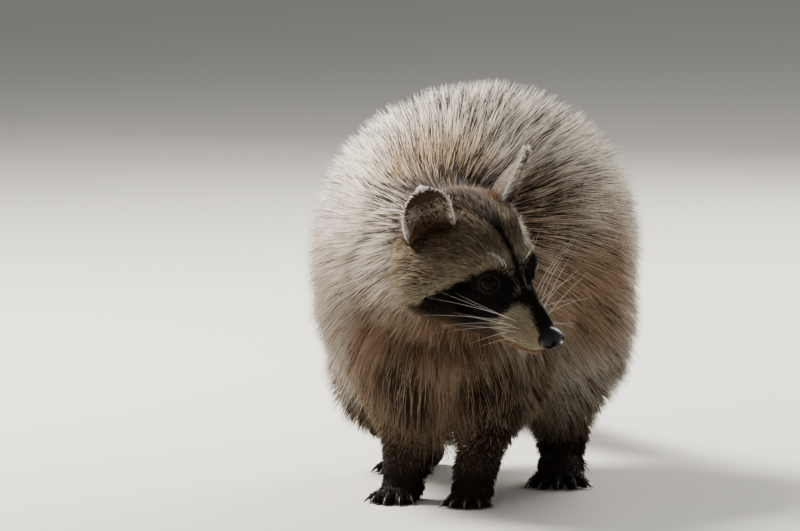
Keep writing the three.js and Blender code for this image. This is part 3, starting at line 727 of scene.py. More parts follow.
def body_tints(p, weights, pick):
    """Root, middle and tip colours over the neck, trunk, legs and tail."""
    x, y, z = p.T
    kind, edge, warm, other = pick.T
    umber, brown, fawn, black = TINT["umber"], TINT["brown"], TINT["fawn"], TINT["black"]
    coat = [np.tile(TINT["underfur"] * 0.6, (len(p), 1)), mix(brown, fawn, 0.1 + 0.9 * warm),
            mix(TINT["buff"], TINT["white"], 0.25 + 0.65 * warm)]

    # the back: ochre behind the head, and more dark hairs along the spine and over the withers
    coat = lay(coat, patch(p, *SADDLE), middle=TINT["ochre"], tip=TINT["ochre"] * 0.7,
               strength=(1, 0.85, 0.4 + 0.4 * warm))
    spine = smooth(95, 25, np.abs(x)) * smooth(170, 230, z)
    nape = np.maximum(*(patch(p, *place) for place in NAPE))
    withers = np.maximum(patch(p, *WITHERS), nape)
    share = 0.17 + 0.3 * spine + 0.4 * withers
    dark = smooth(-0.03, 0.03, kind - 1 + share)
    tan = smooth(60, 100, np.abs(x)) * smooth(215, 160, z) * smooth(70, 110, z) * smooth(190, 90, y)
    # the tan flank patch is real; cutting it to 0.3 on the right side (x < 0) is painted light, so that
    # flank reads paler, as if lit, and the left browner, as if shaded
    tan = tan * np.where(x > 0, 1, 0.3)
    coat = lay(coat, tan * 0.6, middle=brown)
    coat = lay(coat, np.maximum(tan * (0.55 + 0.45 * warm), withers * 0.6), tip=TINT["tan"])
    coat = lay(coat, nape * 0.8, middle=brown * 0.6, tip=fawn * 0.6)
    coat = lay(coat, dark, middle=umber * 0.8, tip=black, strength=(1, 0.9, 1))

    # the chest, belly and the insides of the legs: soft brown, held darker as painted shade under the body
    under = smooth(165, 115, z) * smooth(85, 45, np.abs(x)) * (1 - 0.3 * weights["leg"])
    coat = lay(coat, under * 0.9, middle=mix(umber, brown, 0.2 + 0.7 * warm), tip=mix(brown, fawn, warm))

    # the fronts of the forelegs: dark with long pale hairs lying over them
    front = np.maximum(*(patch(p, *place) for place in SHINS))
    long_pale = smooth(0.84, 0.9, other)
    coat = lay(coat, front, black, mix(umber, fawn, long_pale * 0.7), mix(umber, TINT["buff"], long_pale))

    # legs: dark from the elbow and the knee down to sooty feet, with frosted hairs among them
    leg_depth = np.min([leg_field(p, leg(k, s)["joints"], leg_radii(k)) for k, s in FEET], axis=0)
    on_leg = np.maximum(weights["leg"], smooth(-4, -16, leg_depth))
    low = smooth(138, 96, z + (edge - 0.5) * 26) * on_leg * (1 - 0.7 * front)
    frosted = smooth(0.45, 0.6, other) * smooth(8, 34, z)
    coat = lay(coat, low, umber, mix(umber, brown, warm * 0.6), mix(umber, TINT["buff"], frosted * 0.7))
    foot = smooth(48, 14, z + (kind - 0.5) * 16) * weights["leg"]
    sooty = mix(TINT["soot"], umber, warm * 0.6)
    coat = lay(coat, foot, sooty, sooty, sooty)

    # the ringed tail
    share, _ = along_tail(p)
    edges = np.array(TAIL_BANDS) - RING_WIDER * np.where(np.arange(len(TAIL_BANDS)) % 2, 1, -1)
    ring = np.searchsorted(edges, share + (edge - 0.5) * 0.02) - 1
    dark_ring = ((ring % 2 == 1) | (ring >= len(edges) - 2)).astype(float)
    pale, deep = mix(TINT["buff"], TINT["cream"], warm * 0.7), mix(black, umber, warm * 0.5)
    over = mix(pale, deep, dark_ring)
    on_tail = weights["tail"] * smooth(0.12, 0.2, share)
    return lay(coat, on_tail, mix(fawn, umber, dark_ring), over, over)


def on_outline(q):
    """Head coordinates moved by one Newton step onto the outline of the head's coat."""
    d = head_outline(q)
    return q - gradient(head_outline, q, d) * np.clip(d, -12, 12)[:, None]


def coat_tints(p, seen, weights, pick):
    """Root, middle and tip colours of hair that grows at p and is seen at another place, where
    its upper part lies: blended from the body's and the head's."""
    on_body = body_tints(seen, weights, pick)
    on_head = head_tints(on_outline(to_head(seen)), pick)
    face = np.maximum(weights["head"], smooth(6, 26, seam(seen) + (pick[:, 1] - 0.5) * 14))
    whole = [mix(a, b, face) for a, b in zip(on_body, on_head)]
    v, across, rim, behind = ear_shares(p)
    ear = np.clip(weights["ear"], 0, 1)
    lit = 0.4 * smooth(0.45, 0.95, across) + 0.4 * pick[:, 2] * smooth(0.1, 0.6, v)
    inside = mix(TINT["ear_inside"], TINT["ear_hair"], np.clip(lit, 0, 1))
    back = mix(TINT["brown"], TINT["cream"], smooth(0.0, 0.4, v) * (0.3 + 0.6 * pick[:, 2]))
    shade = mix(mix(inside, back, behind), TINT["white"], rim)
    return [mix(c, shade * k, ear) for c, k in zip(whole, (0.7, 0.95, 1.0))]


def ear_shares(p):
    """Where a point lies on its ear: shares of its height and half width, nearness to the rim,
    and whether behind."""
    side = np.where(to_head(p)[:, 1] > 0, 1, -1)
    v, across, rim, behind = np.zeros((4, len(p)))
    for s in SIDES.values():
        here = side == s
        if not here.any():
            continue
        u, w, off = ear_coordinates(to_head(p[here]), s)
        v[here], across[here] = w, np.abs(u)
        to_tip = np.clip(1 - (w - EAR["widest"]) / (EAR["closes"] - EAR["widest"]), 0, 1)
        edge = smooth(0.94, 0.99, np.abs(u)) * smooth(0.0, 0.2, w)
        rim[here] = np.maximum(edge, smooth(0.07, 0.03, to_tip))
        behind[here] = smooth(0.4, -0.4, off + ear_curl(np.clip(u, -1, 1), w))
    return v, across, rim, behind


def ear_coordinates(q, side):
    """Across the ear as a share of its half width, up it as a share, and forward in mm."""
    base, (rise, wide, face), long = ear_axes(side)
    local = q - base
    w = np.clip(local @ rise / (long - 2), -1, 1.2)
    half = np.maximum(ear_half_width(np.clip(w, EAR["rooted"], 1)), 3)
    return local @ wide / half, w, local @ face


def on_ear(p):
    """1 on the ears' shells and 0 off them."""
    value = np.zeros(len(p))
    q = to_head(p)
    for s in SIDES.values():
        u, w, off = ear_coordinates(q, s)
        near = np.abs(off + ear_curl(np.clip(u, -1, 1), np.clip(w, 0, 1))) < EAR["thickness"] / 2 + 0.8
        value += smooth(-0.12, 0.0, w) * (np.abs(u) < 1.15) * near
    return np.clip(value, 0, 1)


TAIL_LOW = 300  # only the tail comes down to the height of the feet behind this


def region_weights(p):
    """How far each point belongs to the head, neck, trunk, legs, feet, tail and ears."""
    parts = flesh_parts(p)
    names = list(parts)
    d = np.stack([parts[n] for n in names], -1)
    w = np.exp(-np.clip(d - d.min(1, keepdims=True), 0, 60) / 5)
    w = w / w.sum(1, keepdims=True)
    share = dict(zip(names, w.T))
    share["leg"] = sum(share[f"{k}leg_{s}"] for k, s in FEET)
    q = to_head(p)
    ruff = 0.85 * smooth(-32, -56, q[:, 0]) * smooth(16, -6, q[:, 2]) * smooth(8, 22, np.abs(q[:, 1]))
    share["neck"], share["head"] = share["neck"] + ruff * share["head"], share["head"] * (1 - ruff)
    foot = smooth(28, 18, p[:, 2]) * (p[:, 1] < TAIL_LOW)
    for name in ("head", "neck", "trunk", "tail"):
        share[name] = share[name] * (1 - foot)
    share["leg"] = np.maximum(share["leg"], foot)
    share["foot"] = foot
    share["ear"] = on_ear(p)
    return share


# ---------------------------------------------------------------- tufts of hair


def scatter(cells, seed):
    """Three even random numbers for each cell of whole coordinates: the low bits of mixed products."""
    c = cells.astype(np.int64)
    key = (c[:, 0] * 73856093) ^ (c[:, 1] * 19349663) ^ (c[:, 2] * 83492791) ^ (seed * 2654435761)
    out = []
    for n in range(3):
        k = (key + n * 40503) & 0xFFFFFFFF
        k = ((k ^ (k >> 15)) * 2246822519) & 0xFFFFFFFF
        k = ((k ^ (k >> 13)) * 3266489917) & 0xFFFFFFFF
        out.append(((k ^ (k >> 16)) & 0xFFFFFF) / 0x1000000)
    return np.stack(out, -1)


def locks(points, size, seed):
    """Groups points by the nearest of one random centre in each cell of a grid."""
    home = np.floor(points / size).astype(np.int64)
    best = np.full(len(points), 1e9)
    chosen = np.zeros_like(home)
    for offset in np.ndindex(3, 3, 3):
        cell = home + np.array(offset) - 1
        away = (((cell + scatter(cell, seed)) * size - points) ** 2).sum(1)
        closer = away < best
        best[closer], chosen[closer] = away[closer], cell[closer]
    _, group = np.unique(chosen, axis=0, return_inverse=True)
    return group.ravel(), scatter(chosen, seed + 7)


def group_mean(values, group):
    """The mean of the values in each group, handed back to every member."""
    count = np.bincount(group)
    return np.stack([np.bincount(group, v) / count for v in values.T], -1)[group]


def lie_of_coat(p, normal, weights):
    """The way the hair runs: back over the head and trunk, down the legs, out along the tail."""
    q = to_head(p)
    x, y, z = p.T
    n = len(p)
    flank = smooth(20, 90, np.abs(x)) * smooth(250, 190, z)
    trunk = np.stack([0.12 * np.sign(x) * smooth(0, 60, np.abs(x)), 0.9 - 0.45 * smooth(60, -40, y),
                      -0.25 - 0.55 * flank - 0.8 * smooth(70, -20, y) * smooth(210, 120, z)], -1)
    neck = np.tile(unit(np.subtract(NECK[0], NECK[1])) + (0, 0, -0.55), (n, 1))
    swept = np.stack([-np.ones(n), 0.55 * np.tanh(q[:, 1] / 18) * smooth(5, -40, q[:, 0]),
                      0.12 - 0.5 * smooth(-5, -35, q[:, 2])], -1)
    for s in SIDES.values():
        away = q - mirrored(EYE["centre"], s)
        near = smooth(16, 9, np.linalg.norm(away, axis=1))
        swept = swept * (1 - 0.9 * near[:, None]) + unit(away) * near[:, None]
    head = swept @ HEAD_AXES.T
    leg_way = np.tile((0, 0.12, -1.0), (n, 1))
    foot_way = np.tile((0, -1.0, -0.35), (n, 1))
    share, _ = along_tail(p)
    tail = catmull(TAIL_POINTS, share + 0.02) - catmull(TAIL_POINTS, share - 0.02)
    tail = unit(tail) + (0, 0, -0.12)
    way = (unit(trunk) * weights["trunk"][:, None] + unit(neck) * weights["neck"][:, None]
           + unit(head) * weights["head"][:, None] + unit(tail) * weights["tail"][:, None])
    leg = weights["leg"][:, None]
    foot = weights["foot"][:, None]
    way = way * (1 - leg) + (leg_way * (1 - foot) + foot_way * foot) * leg
    for s in SIDES.values():
        _, (rise, wide, _), _ = ear_axes(s)
        here = (weights["ear"] * (q[:, 1] * s > 0))[:, None]
        u, _, _ = ear_coordinates(q, s)
        outwards = (np.sign(u) * smooth(0.7, 1.0, np.abs(u)) * 0.4)[:, None] * (wide @ HEAD_AXES.T)
        way = way * (1 - here) + (rise @ HEAD_AXES.T + outwards) * here
    way = way - (way * normal).sum(1, keepdims=True) * normal
    return unit(way)


def sample_roots(mesh, density, rng):
    """Random places on a mesh, so many to the square millimetre, with the surface's normals."""
    mesh.calc_loop_triangles()
    corners = np.empty(len(mesh.loop_triangles) * 3, np.int32)
    mesh.loop_triangles.foreach_get("vertices", corners)
    corners = corners.reshape(-1, 3)
    points, normals = np.empty(len(mesh.vertices) * 3), np.empty(len(mesh.vertices) * 3)
    mesh.vertices.foreach_get("co", points)
    mesh.vertices.foreach_get("normal", normals)
    points = points.reshape(-1, 3) * 1000 - SHIFT
    normals = normals.reshape(-1, 3)
    a, b, c = (points[corners[:, k]] for k in range(3))
    area = np.linalg.norm(np.cross(b - a, c - a), axis=1) / 2
    wanted = area * density(points)[corners].mean(1)
    ends = np.cumsum(wanted)
    chosen = np.searchsorted(ends, np.arange(int(ends[-1])) + rng.random(int(ends[-1])))
    chosen = np.minimum(chosen, len(corners) - 1)
    r1, r2 = np.sqrt(rng.random(len(chosen))), rng.random(len(chosen))
    bary = np.stack([1 - r1, r1 * (1 - r2), r1 * r2], -1)
    at = (points[corners[chosen]] * bary[..., None]).sum(1)
    normal = unit((normals[corners[chosen]] * bary[..., None]).sum(1))
    return at, normal


def lip_line(q, under, half):
    """1 within half a width of a line that runs so far under the mouth's line."""
    away = np.abs(q[:, 2] - mouth_height(q[:, 0]) + under)
    return smooth(half + 0.3, half - 0.3, away) * (head_outline(q) < 2) * smooth(3, 6, q[:, 0])


def bare(p):
    """1 where no hair grows: the soles, the eyes' openings, the nose pad and the lips' line."""
    q = to_head(p)
    none = smooth(2.2, 1.2, p[:, 2])
    for s in SIDES.values():
        local = to_eye(q, s)
        none = np.maximum(none, smooth(0.9, 0.2, ellipsoid(local, *LID["opening"])))
    none = np.maximum(none, smooth(1.2, 0.4, ellipsoid(q, NOSE["centre"], NOSE["radii"])))
    return np.maximum(none, lip_line(q, 0, 1.3))


# For each region: tufts to the mm2, their width in mm, the angles off the skin at which they start
# and end, how far a lock pulls its tips together, the size of a lock in mm, and the longest tuft.
COLUMNS = ("dense", "width", "start", "end", "pull", "lock", "longest")
HAIR = {region: dict(zip(COLUMNS, numbers)) for region, numbers in {
    "trunk": (0.37, 0.62, 58, 34, 0.22, 4.4, 60),
    "neck": (0.75, 0.56, 42, 20, 0.26, 4, 46),
    "crown": (1.1, 0.52, 36, 18, 0.28, 3.2, 40),
    "face": (2.1, 0.4, 24, 12, 0.28, 2.4, 10),
    "leg": (0.55, 0.66, 54, 38, 0.34, 4.6, 54),
    "foot": (0.5, 0.6, 22, 10, 0.3, 3, 7),
    "tail": (0.5, 0.8, 46, 26, 0.36, 5.5, 52),
    "ear": (1.0, 0.42, 28, 14, 0.2, 2.2, 14),
}.items()}


def torso_sum(w, q, column):
    """One number of HAIR, summed over trunk, neck, tail and head by their weights."""
    face = smooth(-45, -10, q[:, 0])
    return (w["trunk"] * HAIR["trunk"][column] + w["neck"] * HAIR["neck"][column]
            + w["tail"] * HAIR["tail"][column]
            + w["head"] * (HAIR["crown"][column] * (1 - face) + HAIR["face"][column] * face))


def with_limbs(value, w, column):
    """A number of the torso's, handed over to the legs', the feet's and the ears' where they are."""
    leg = HAIR["leg"][column] * (1 - w["foot"]) + HAIR["foot"][column] * w["foot"]
    value = value * (1 - w["leg"]) + w["leg"] * leg
    return value * (1 - w["ear"]) + w["ear"] * HAIR["ear"][column]


def hair_density(p):
    """Tufts to the square millimetre: densest on the face, thinnest on the trunk."""
    w, q = region_weights(p), to_head(p)
    dense = with_limbs(torso_sum(w, q, "dense"), w, "dense")
    return dense * (1 - bare(p)) * (1 - 0.6 * lip_line(q, 2.4, 1.2))


def blend_by_region(w, q, column):
    """One number of HAIR for each root, by its region."""
    total = w["trunk"] + w["neck"] + w["tail"] + w["head"]
    return with_limbs(torso_sum(w, q, column) / np.maximum(total, 1e-6), w, column)


def hair_angles(w, q, depth, pick, lock_pick):
    """The angles off the skin at which each tuft starts and ends; deep hair, the crown's rear and
    the cheek's lower fringe stand up more."""
    lift = (pick[:, 1] - 0.5) * 16 + (lock_pick[:, 1] - 0.5) * 14 + 14 * smooth(26, 44, depth)
    lift = lift + 14 * crown_rear(w, q) + 12 * cheek_fringe(w, q)
    first = np.radians(np.clip(blend_by_region(w, q, "start") + lift, 4, 80))
    last = np.radians(np.clip(blend_by_region(w, q, "end") + lift * 0.8, 2, 70))
    return first, last


def crown_rear(w, q):
    """1 at the rear of the head's top."""
    return w["head"] * smooth(-30, -54, q[:, 0]) * smooth(4, 20, q[:, 2])


def cheek_fringe(w, q):
    """1 along the lower edge of the cheek."""
    return w["head"] * smooth(-26, -36, q[:, 2]) * smooth(4, -10, q[:, 0])


def hair_room(p, w, q, depth, brush, pick):
    """How far each tuft may stand off the skin, in mm, from its depth under the outline: capped on
    the head, longer at the ears' feet and on their backs, and free in the tail's end brush."""
    on_head = w["head"] > 0.5
    folded = np.c_[q[:, 0], np.abs(q[:, 1]), q[:, 2]]
    by_ear = smooth(20, 9, np.linalg.norm(folded - np.array(EAR_FOOT), axis=1)) * on_head
    capped = np.minimum(depth, head_depth(q) * 1.25 + 10 * cheek_fringe(w, q))
    depth = np.where(on_head, capped + 6 * by_ear + 4 * crown_rear(w, q), depth)
    v, across, rim, behind = ear_shares(p)
    fluff = behind * smooth(0.95, 0.1, v) * smooth(1.2, 0.75, across)
    on_ear_depth = 1.8 + 0.3 * rim + 6.5 * fluff + 5 * smooth(0.25, -0.05, v)
    depth = depth * (1 - w["ear"]) + on_ear_depth * w["ear"]
    depth = depth + brush * (3 + 9 * pick[:, 3])
    return np.where(w["foot"] > 0.3, np.minimum(depth, 2.6), depth)


STEPS = np.array([0, 0.5, 1.0])  # a tuft's rings and tip, as shares of its length
SHORTEST = 2.5
LOWEST_HAIR = 0.6  # height over the floor


def arcs(way, normal, first, bend, foot):
    """Middle lines one long: arcs that leave the skin at one angle and turn evenly by a bend, with
    a little sag: ((sin a - sin a0) / bend along the way, (cos a0 - cos a) / bend off the skin)."""
    angle = first[:, None] + bend[:, None] * STEPS
    along = (np.sin(angle) - np.sin(first)[:, None]) / bend[:, None]
    out = (np.cos(first)[:, None] - np.cos(angle)) / bend[:, None]
    sag = 0.05 * STEPS ** 2 * (1 - foot[:, None])
    return (way[:, None] * along[..., None] + normal[:, None] * out[..., None]
            - sag[..., None] * np.array((0, 0, 1)))


def grow_hair(rng):
    """Every tuft of the coat as arrays: its middle line, width, side, picks and region."""
    p, normal = sample_roots(skin.data, hair_density, rng)
    w, q = region_weights(p), to_head(p)
    pick = rng.random((len(p), 4))
    way = lie_of_coat(p, normal, w)

    # locks and, over them, coarser groups that turn their hair a little to one side
    scaled = p / blend_by_region(w, q, "lock")[:, None] * 6
    group, lock_pick = locks(scaled, 6, 11)
    alike = (pick[:, 3] * 7 % 1 < 0.5) & (w["head"] < 0.5)
    pick[:, 0] = np.where(alike, lock_pick[:, 1], pick[:, 0])
    _, coarse_pick = locks(scaled, 19, 12)
    swing = (pick[:, 0] - 0.5) * 20 + (lock_pick[:, 0] - 0.5) * 22 + (coarse_pick[:, 0] - 0.5) * 16
    swing = np.radians(swing)[:, None]
    way = way * np.cos(swing) + np.cross(normal, way) * np.sin(swing)

    # the arc of each tuft and the length that brings its tip near the outline
    depth = np.clip(-coat_edge(p), 1.3, 60)
    first, last = hair_angles(w, q, depth, pick, lock_pick)
    brush = w["tail"] * smooth(0.84, 0.96, along_tail(p)[0])
    depth = hair_room(p, w, q, depth, brush, pick)
    longest = blend_by_region(w, q, "longest") + 22 * smooth(45, 80, np.abs(p[:, 0]))
    guard = smooth(0.5, 0.75, pick[:, 3])
    share = 0.9 + 0.2 * guard + 0.1 * (lock_pick[:, 2] - 0.5)
    share = share + (1 - w["head"]) * (0.06 + 0.06 * guard)
    bend = np.where(np.abs(last - first) < 1e-3, 1e-3, last - first)
    long = np.clip(depth * share / ((np.cos(first) - np.cos(last)) / bend), SHORTEST, longest)
    shape = arcs(way, normal, first, bend, w["foot"])
    free = (w["ear"] < 0.5) & (w["foot"] < 0.3) & (brush < 0.2)
    for _ in range(4):
        over = coat_edge(p + shape[:, -1] * long[:, None]) + depth * (1 - share)
        fit = depth * share / np.maximum(depth * share + over, 0.3 * depth)
        long = np.where(free, np.clip(long * np.clip(fit, 0.7, 1.3), SHORTEST, longest), long)

    # the roots sink into the skin, and the tips of a lock draw together
    sink = np.minimum(1.0, 0.3 * depth)
    line = (p - normal * sink[:, None])[:, None] + shape * long[:, None, None]
    meeting = group_mean(line[:, -1], group)
    pull = blend_by_region(w, q, "pull")
    line += (meeting - line[:, -1])[:, None] * (pull[:, None] * STEPS ** 1.6)[..., None]
    line[..., 2] = np.maximum(line[..., 2], LOWEST_HAIR)
    width = blend_by_region(w, q, "width") * (1.25 - 0.5 * guard) * (0.85 + 0.3 * pick[:, 2])
    return {"root": p, "side": np.cross(normal, way), "line": line, "width": width, "weights": w,
            "pick": pick, "shade": 0.88 + 0.24 * lock_pick[:, 2]}


COAT_PIECES = ["coat_back", "coat_flank_left", "coat_flank_right", "coat_chest", "coat_rump", "coat_neck",
               "coat_tail", "coat_forelegs", "coat_hindlegs", "coat_feet", "coat_face",
               "coat_cheek_left", "coat_cheek_right", "coat_ears"]


def coat_piece_of(p, w):
    """The number in COAT_PIECES of the piece each root belongs to: the back's, unless a rule
    below takes it, and a later rule goes before an earlier one."""
    q = to_head(p)
    x, y, z = p.T
    trunk = w["trunk"] + w["leg"] > 0.5
    leg = (w["leg"] > 0.5) & (z < 100) & (y < 330)
    head = w["head"] > 0.5
    cheek = head & (q[:, 0] <= -22)
    rules = {
        "coat_flank_left": trunk & (z < 215) & (x > 0), "coat_flank_right": trunk & (z < 215) & (x <= 0),
        "coat_rump": trunk & (y > 190), "coat_chest": y < 20,
        "coat_neck": w["neck"] > 0.5, "coat_tail": w["tail"] > 0.5,
        "coat_forelegs": leg & (y < 80), "coat_hindlegs": leg & (y >= 80), "coat_feet": w["foot"] > 0.5,
        "coat_face": head & (q[:, 0] > -22),
        "coat_cheek_left": cheek & (q[:, 1] > 0), "coat_cheek_right": cheek & (q[:, 1] <= 0),
        "coat_ears": w["ear"] > 0.5,
    }
    number = np.zeros(len(p), int)
    for name, here in rules.items():
        number[here] = COAT_PIECES.index(name)
    return number


def unwrap(p, name):
    """Two shares from 0 to 1 for each root: along the part it grows on, and round it."""
    q = to_head(p)
    if name in ("coat_face", "coat_cheek_left", "coat_cheek_right"):
        along, angle = q[:, 0], np.arctan2(q[:, 1], q[:, 2] + 16)
    elif name == "coat_ears":
        along, angle = q[:, 2], np.arctan2(q[:, 0] + 47, q[:, 1] - np.sign(q[:, 1]) * 44) / 2
        angle = angle + np.where(q[:, 1] > 0, math.pi / 2, -math.pi / 2)
    elif name == "coat_tail":
        along, _ = along_tail(p)
        middle = catmull(TAIL_POINTS, along)
        angle = np.arctan2(p[:, 0] - middle[:, 0], p[:, 2] - middle[:, 2])
    elif name in ("coat_forelegs", "coat_hindlegs", "coat_feet"):
        number, angle = np.zeros(len(p)), np.zeros(len(p))
        gap = np.full(len(p), 1e9)
        for n, (k, s) in enumerate(FEET):
            centre = np.mean([leg(k, s)["joints"][2][:2], leg(k, s)["joints"][1][:2]], 0)
            away = np.hypot(*(p[:, :2] - centre).T)
            here = away < gap
            gap[here], number[here] = away[here], n
            angle[here] = np.arctan2(*(p[here, :2] - centre).T)
        along = p[:, 2]
        angle = (angle + math.pi) / 4 * 0.96 + number * math.pi / 2 - math.pi
    else:
        along, angle = p[:, 1], np.arctan2(p[:, 0], p[:, 2] - 150)
    u = (along - along.min()) / max(np.ptp(along), 1e-6)
    v = (angle - angle.min()) / max(np.ptp(angle), 1e-6)
    return np.stack([u, v], -1) * 0.99 + 0.005


RING_WIDTHS = np.array([0.75, 1.0])  # a tuft's width at its root and halfway, as shares
RING_SIDES = ((0, 1), (1, 2), (2, 0))
PATCH_SIZE = 0.003  # of a tuft's patch in the bake map


def tuft_mesh(name, hair, which):
    """Tufts as closed spikes: two three-sided rings on a bent middle line, at the root and
    halfway, where the tuft is widest, then a point; a flat triangle closes the root."""
    line, side, width = hair["line"][which], hair["side"][which], hair["width"][which]
    n = len(line)
    ahead = unit(np.gradient(line, axis=1))
    across = unit(side[:, None] - (side[:, None] * ahead).sum(-1, keepdims=True) * ahead)
    up = np.cross(ahead, across)
    half = (width[:, None] * RING_WIDTHS / 2)[..., None]
    across, up, rings = across[:, :2] * half, up[:, :2] * half, line[:, :2]
    stem = np.stack([rings - across - up * 0.35, rings + across - up * 0.35, rings + up * 0.7], 2)
    points = np.concatenate([stem.reshape(n, 6, 3), line[:, -1:]], 1)
    first = (np.arange(n) * 7)[:, None]
    quads = [first + np.array([k, m, 3 + m, 3 + k]) for k, m in RING_SIDES]
    tris = [first + np.array([3 + k, 3 + m, 6]) for k, m in RING_SIDES]
    tris.append(first + np.array([0, 2, 1]))
    piece = new_mesh(name, metres(points.reshape(-1, 3)), [np.concatenate(quads), np.concatenate(tris)])

    root, pick = hair["root"][which], hair["pick"][which]
    weights = {k: v[which] for k, v in hair["weights"].items()}
    on_tail = weights["tail"]
    seen = [mix(line[:, k], (line[:, 1] + line[:, 2]) / 2, on_tail) for k in (1, 2)]
    colours = coat_tints(root, seen[0], weights, pick)
    colours[2] = coat_tints(root, seen[1], weights, pick)[2]
    colours[1] = mix(colours[1], colours[2], 0.35 * (1 - weights["head"]))
    ladder = np.stack(colours, 1) * hair["shade"][which][:, None, None]
    paint(piece, np.repeat(ladder, (3, 3, 1), axis=1).reshape(-1, 3))

    along = np.array([0, 0, 0, 0.5, 0.5, 0.5, 1])
    round_it = np.array([0, 1, 0.5, 0, 1, 0.5, 0.5])
    uv = unwrap(root, name)[:, None] + (np.stack([along, round_it], -1) - 0.5)[None] * PATCH_SIZE
    bake_map(piece, uv.reshape(-1, 2))
    return piece


def paint(piece, tint):
    """Stores a linear colour on each point of the mesh as the attribute 'tint'."""
    layer = piece.data.attributes.new("tint", "FLOAT_COLOR", "POINT")
    colour = np.c_[np.clip(tint, 0, 1), np.ones(len(tint))]
    layer.data.foreach_set("color", colour.astype(np.float32).ravel())


def bake_map(piece, uv):
    """The UV map OFBake, from one place for each point."""
    layer = piece.data.uv_layers.new(name="OFBake")
    corner = np.empty(len(piece.data.loops), np.int32)
    piece.data.loops.foreach_get("vertex_index", corner)
    layer.data.foreach_set("uv", uv[corner].astype(np.float32).ravel())


# ---------------------------------------------------------------- eyes, nose, claws, whiskers


def grid_quads(rows, columns):
    """Quads over a grid of points that is closed round each row."""
    grid = np.arange(rows * columns).reshape(rows, columns)
    right = np.roll(grid, -1, 1)
    return np.stack([grid[:-1], right[:-1], right[1:], grid[1:]], -1).reshape(-1, 4)


def build_eye(side):
    """An eyeball: a sphere in rings about its gaze, with a cornea that stands out a little,
    r(a) = r * (1 + 0.045 * exp(-(a / 0.55)^2)), where a is the angle off the gaze."""
    rows, columns = 40, 48
    look, across, up = eye_axes(side)
    off = np.linspace(0.02, math.pi - 0.02, rows)[:, None]
    turn = np.linspace(0, 2 * math.pi, columns, endpoint=False)[None, :]
    radius = EYE["radius"] * (1 + 0.045 * np.exp(-(off / 0.55) ** 2))
    wide = np.sin(off) * radius
    q = (np.cos(off) * radius)[..., None] * look + (wide * np.cos(turn))[..., None] * across
    q = q + (wide * np.sin(turn))[..., None] * up + mirrored(EYE["centre"], side)
    points = from_head(q.reshape(-1, 3))
    ends = [fan(np.arange(columns)[::-1]), fan(np.arange((rows - 1) * columns, rows * columns))]
    name = "eyeball_left" if side > 0 else "eyeball_right"
    eye = new_mesh(name, metres(points), [grid_quads(rows, columns), np.concatenate(ends)])
    iris = (smooth(0.36, 0.42, off + 0 * turn) * smooth(0.86, 0.8, off + 0 * turn)).ravel()
    spokes = 0.6 + 0.4 * np.sin(turn * 23 + 3 * np.sin(turn * 7)).repeat(rows, 0).ravel()
    pupil = np.tile(linear("#030202"), (len(points), 1))
    paint(eye, mix(pupil, linear("#0e0805"), iris * spokes))
    return eye


def nose_field(q):
    """The nose pad: a blunt lobe with comma-shaped nostrils and a groove down its middle."""
    (cf, _, cu), radii = NOSE["centre"], NOSE["radii"]
    pad = ellipsoid(q, NOSE["centre"], np.array(radii) - 0.4)
    bridge = taper(q, (cf - 7, 0, cu + 3), (cf + 1, 0, cu + 2), 4.5, 4.5)
    pad = joined(3, pad, bridge)
    for s in SIDES.values():
        wing = ellipsoid(q, (cf + 1.5, s * 5.6, cu - 1), (5.4, 3.8, 4.6))
        pad = joined(1.6, pad, wing)
    for s in SIDES.values():
        round_part = taper(q, (cf + 9, s * 3.6, cu + 0.2), (cf + 2, s * 4.1, cu + 0.2), NOSE["nostril"], 1.8)
        slit = taper(q, (cf + 6.5, s * 4.6, cu - 1.0), (cf + 2.6, s * 9.8, cu - 2.6), 1.4, 1.1)
        pad = hollowed(0.8, pad, joined(1, round_part, slit))
    groove = taper(q, (cf + 9.4, 0, cu + 3.0), (cf + 6.4, 0, cu - 8), 0.9, 1.3)
    return hollowed(0.9, pad, groove)


def build_nose():
    """The nose pad as a fine net of its own."""
    low = np.array((NOSE["centre"][0] - 13, -12, NOSE["centre"][2] - 10))
    points, quads = net_of(nose_field, low, low + (24, 24, 20), 0.55)
    return new_mesh("nose_pad", metres(from_head(points)), [quads])


def tubes(name, lines, radii, around, flatten=1.0):
    """Tapered closed tubes: rings of points about each line, in a frame carried along it, with
    the ends drawn to a point in front and closed flat behind."""
    n, steps = lines.shape[:2]
    ahead = unit(np.gradient(lines, axis=1))
    side = unit(np.cross(ahead, np.array((0.02, 0.03, 1.0))))
    up = np.cross(side, ahead)
    turn = np.linspace(0, 2 * math.pi, around, endpoint=False)
    ring = (side[:, :, None] * np.cos(turn)[:, None] * flatten + up[:, :, None] * np.sin(turn)[:, None])
    points = lines[:, :, None] + ring * radii[..., None, None]
    quads = grid_quads(steps, around)
    start = (np.arange(n) * steps * around)[:, None, None]
    front, back = np.arange(around)[::-1], np.arange((steps - 1) * around, steps * around)
    ends = np.concatenate([fan(front), fan(back)])
    faces = [(quads[None] + start).reshape(-1, 4)[:, ::-1], (ends[None] + start).reshape(-1, 3)[:, ::-1]]
    return new_mesh(name, metres(points.reshape(-1, 3)), faces)


def build_claws():
    """Twenty curved claws: c(t) = base + way * L * (t - 0.1 t^2), sinking to the ground at the tip,
    with radius r * (1 - t) ^ 0.75."""
    t = np.linspace(0, 1, 9)
    upwards = np.array((0, 0, 1))
    lines, radii = [], []
    for kind, side in FEET:
        size = paw_size(kind)
        long, thick = size["claw"] + 1.5, size["toe"][0]
        for way, start, length in toe_places(kind, side):
            base = start + way * (length - 0.5) + np.array((0, 0, thick + 0.1))
            rise = 1.5 * np.sin(math.pi * t) * (1 - t) - (thick - 0.5) * t ** 1.6
            lines.append(base + way * (long * (t - 0.1 * t * t))[:, None] + upwards * rise[:, None])
            radii.append(1.75 * (1 - t) ** 0.75 + 0.12)
    return tubes("claws", np.array(lines), np.array(radii), 8, flatten=0.72)


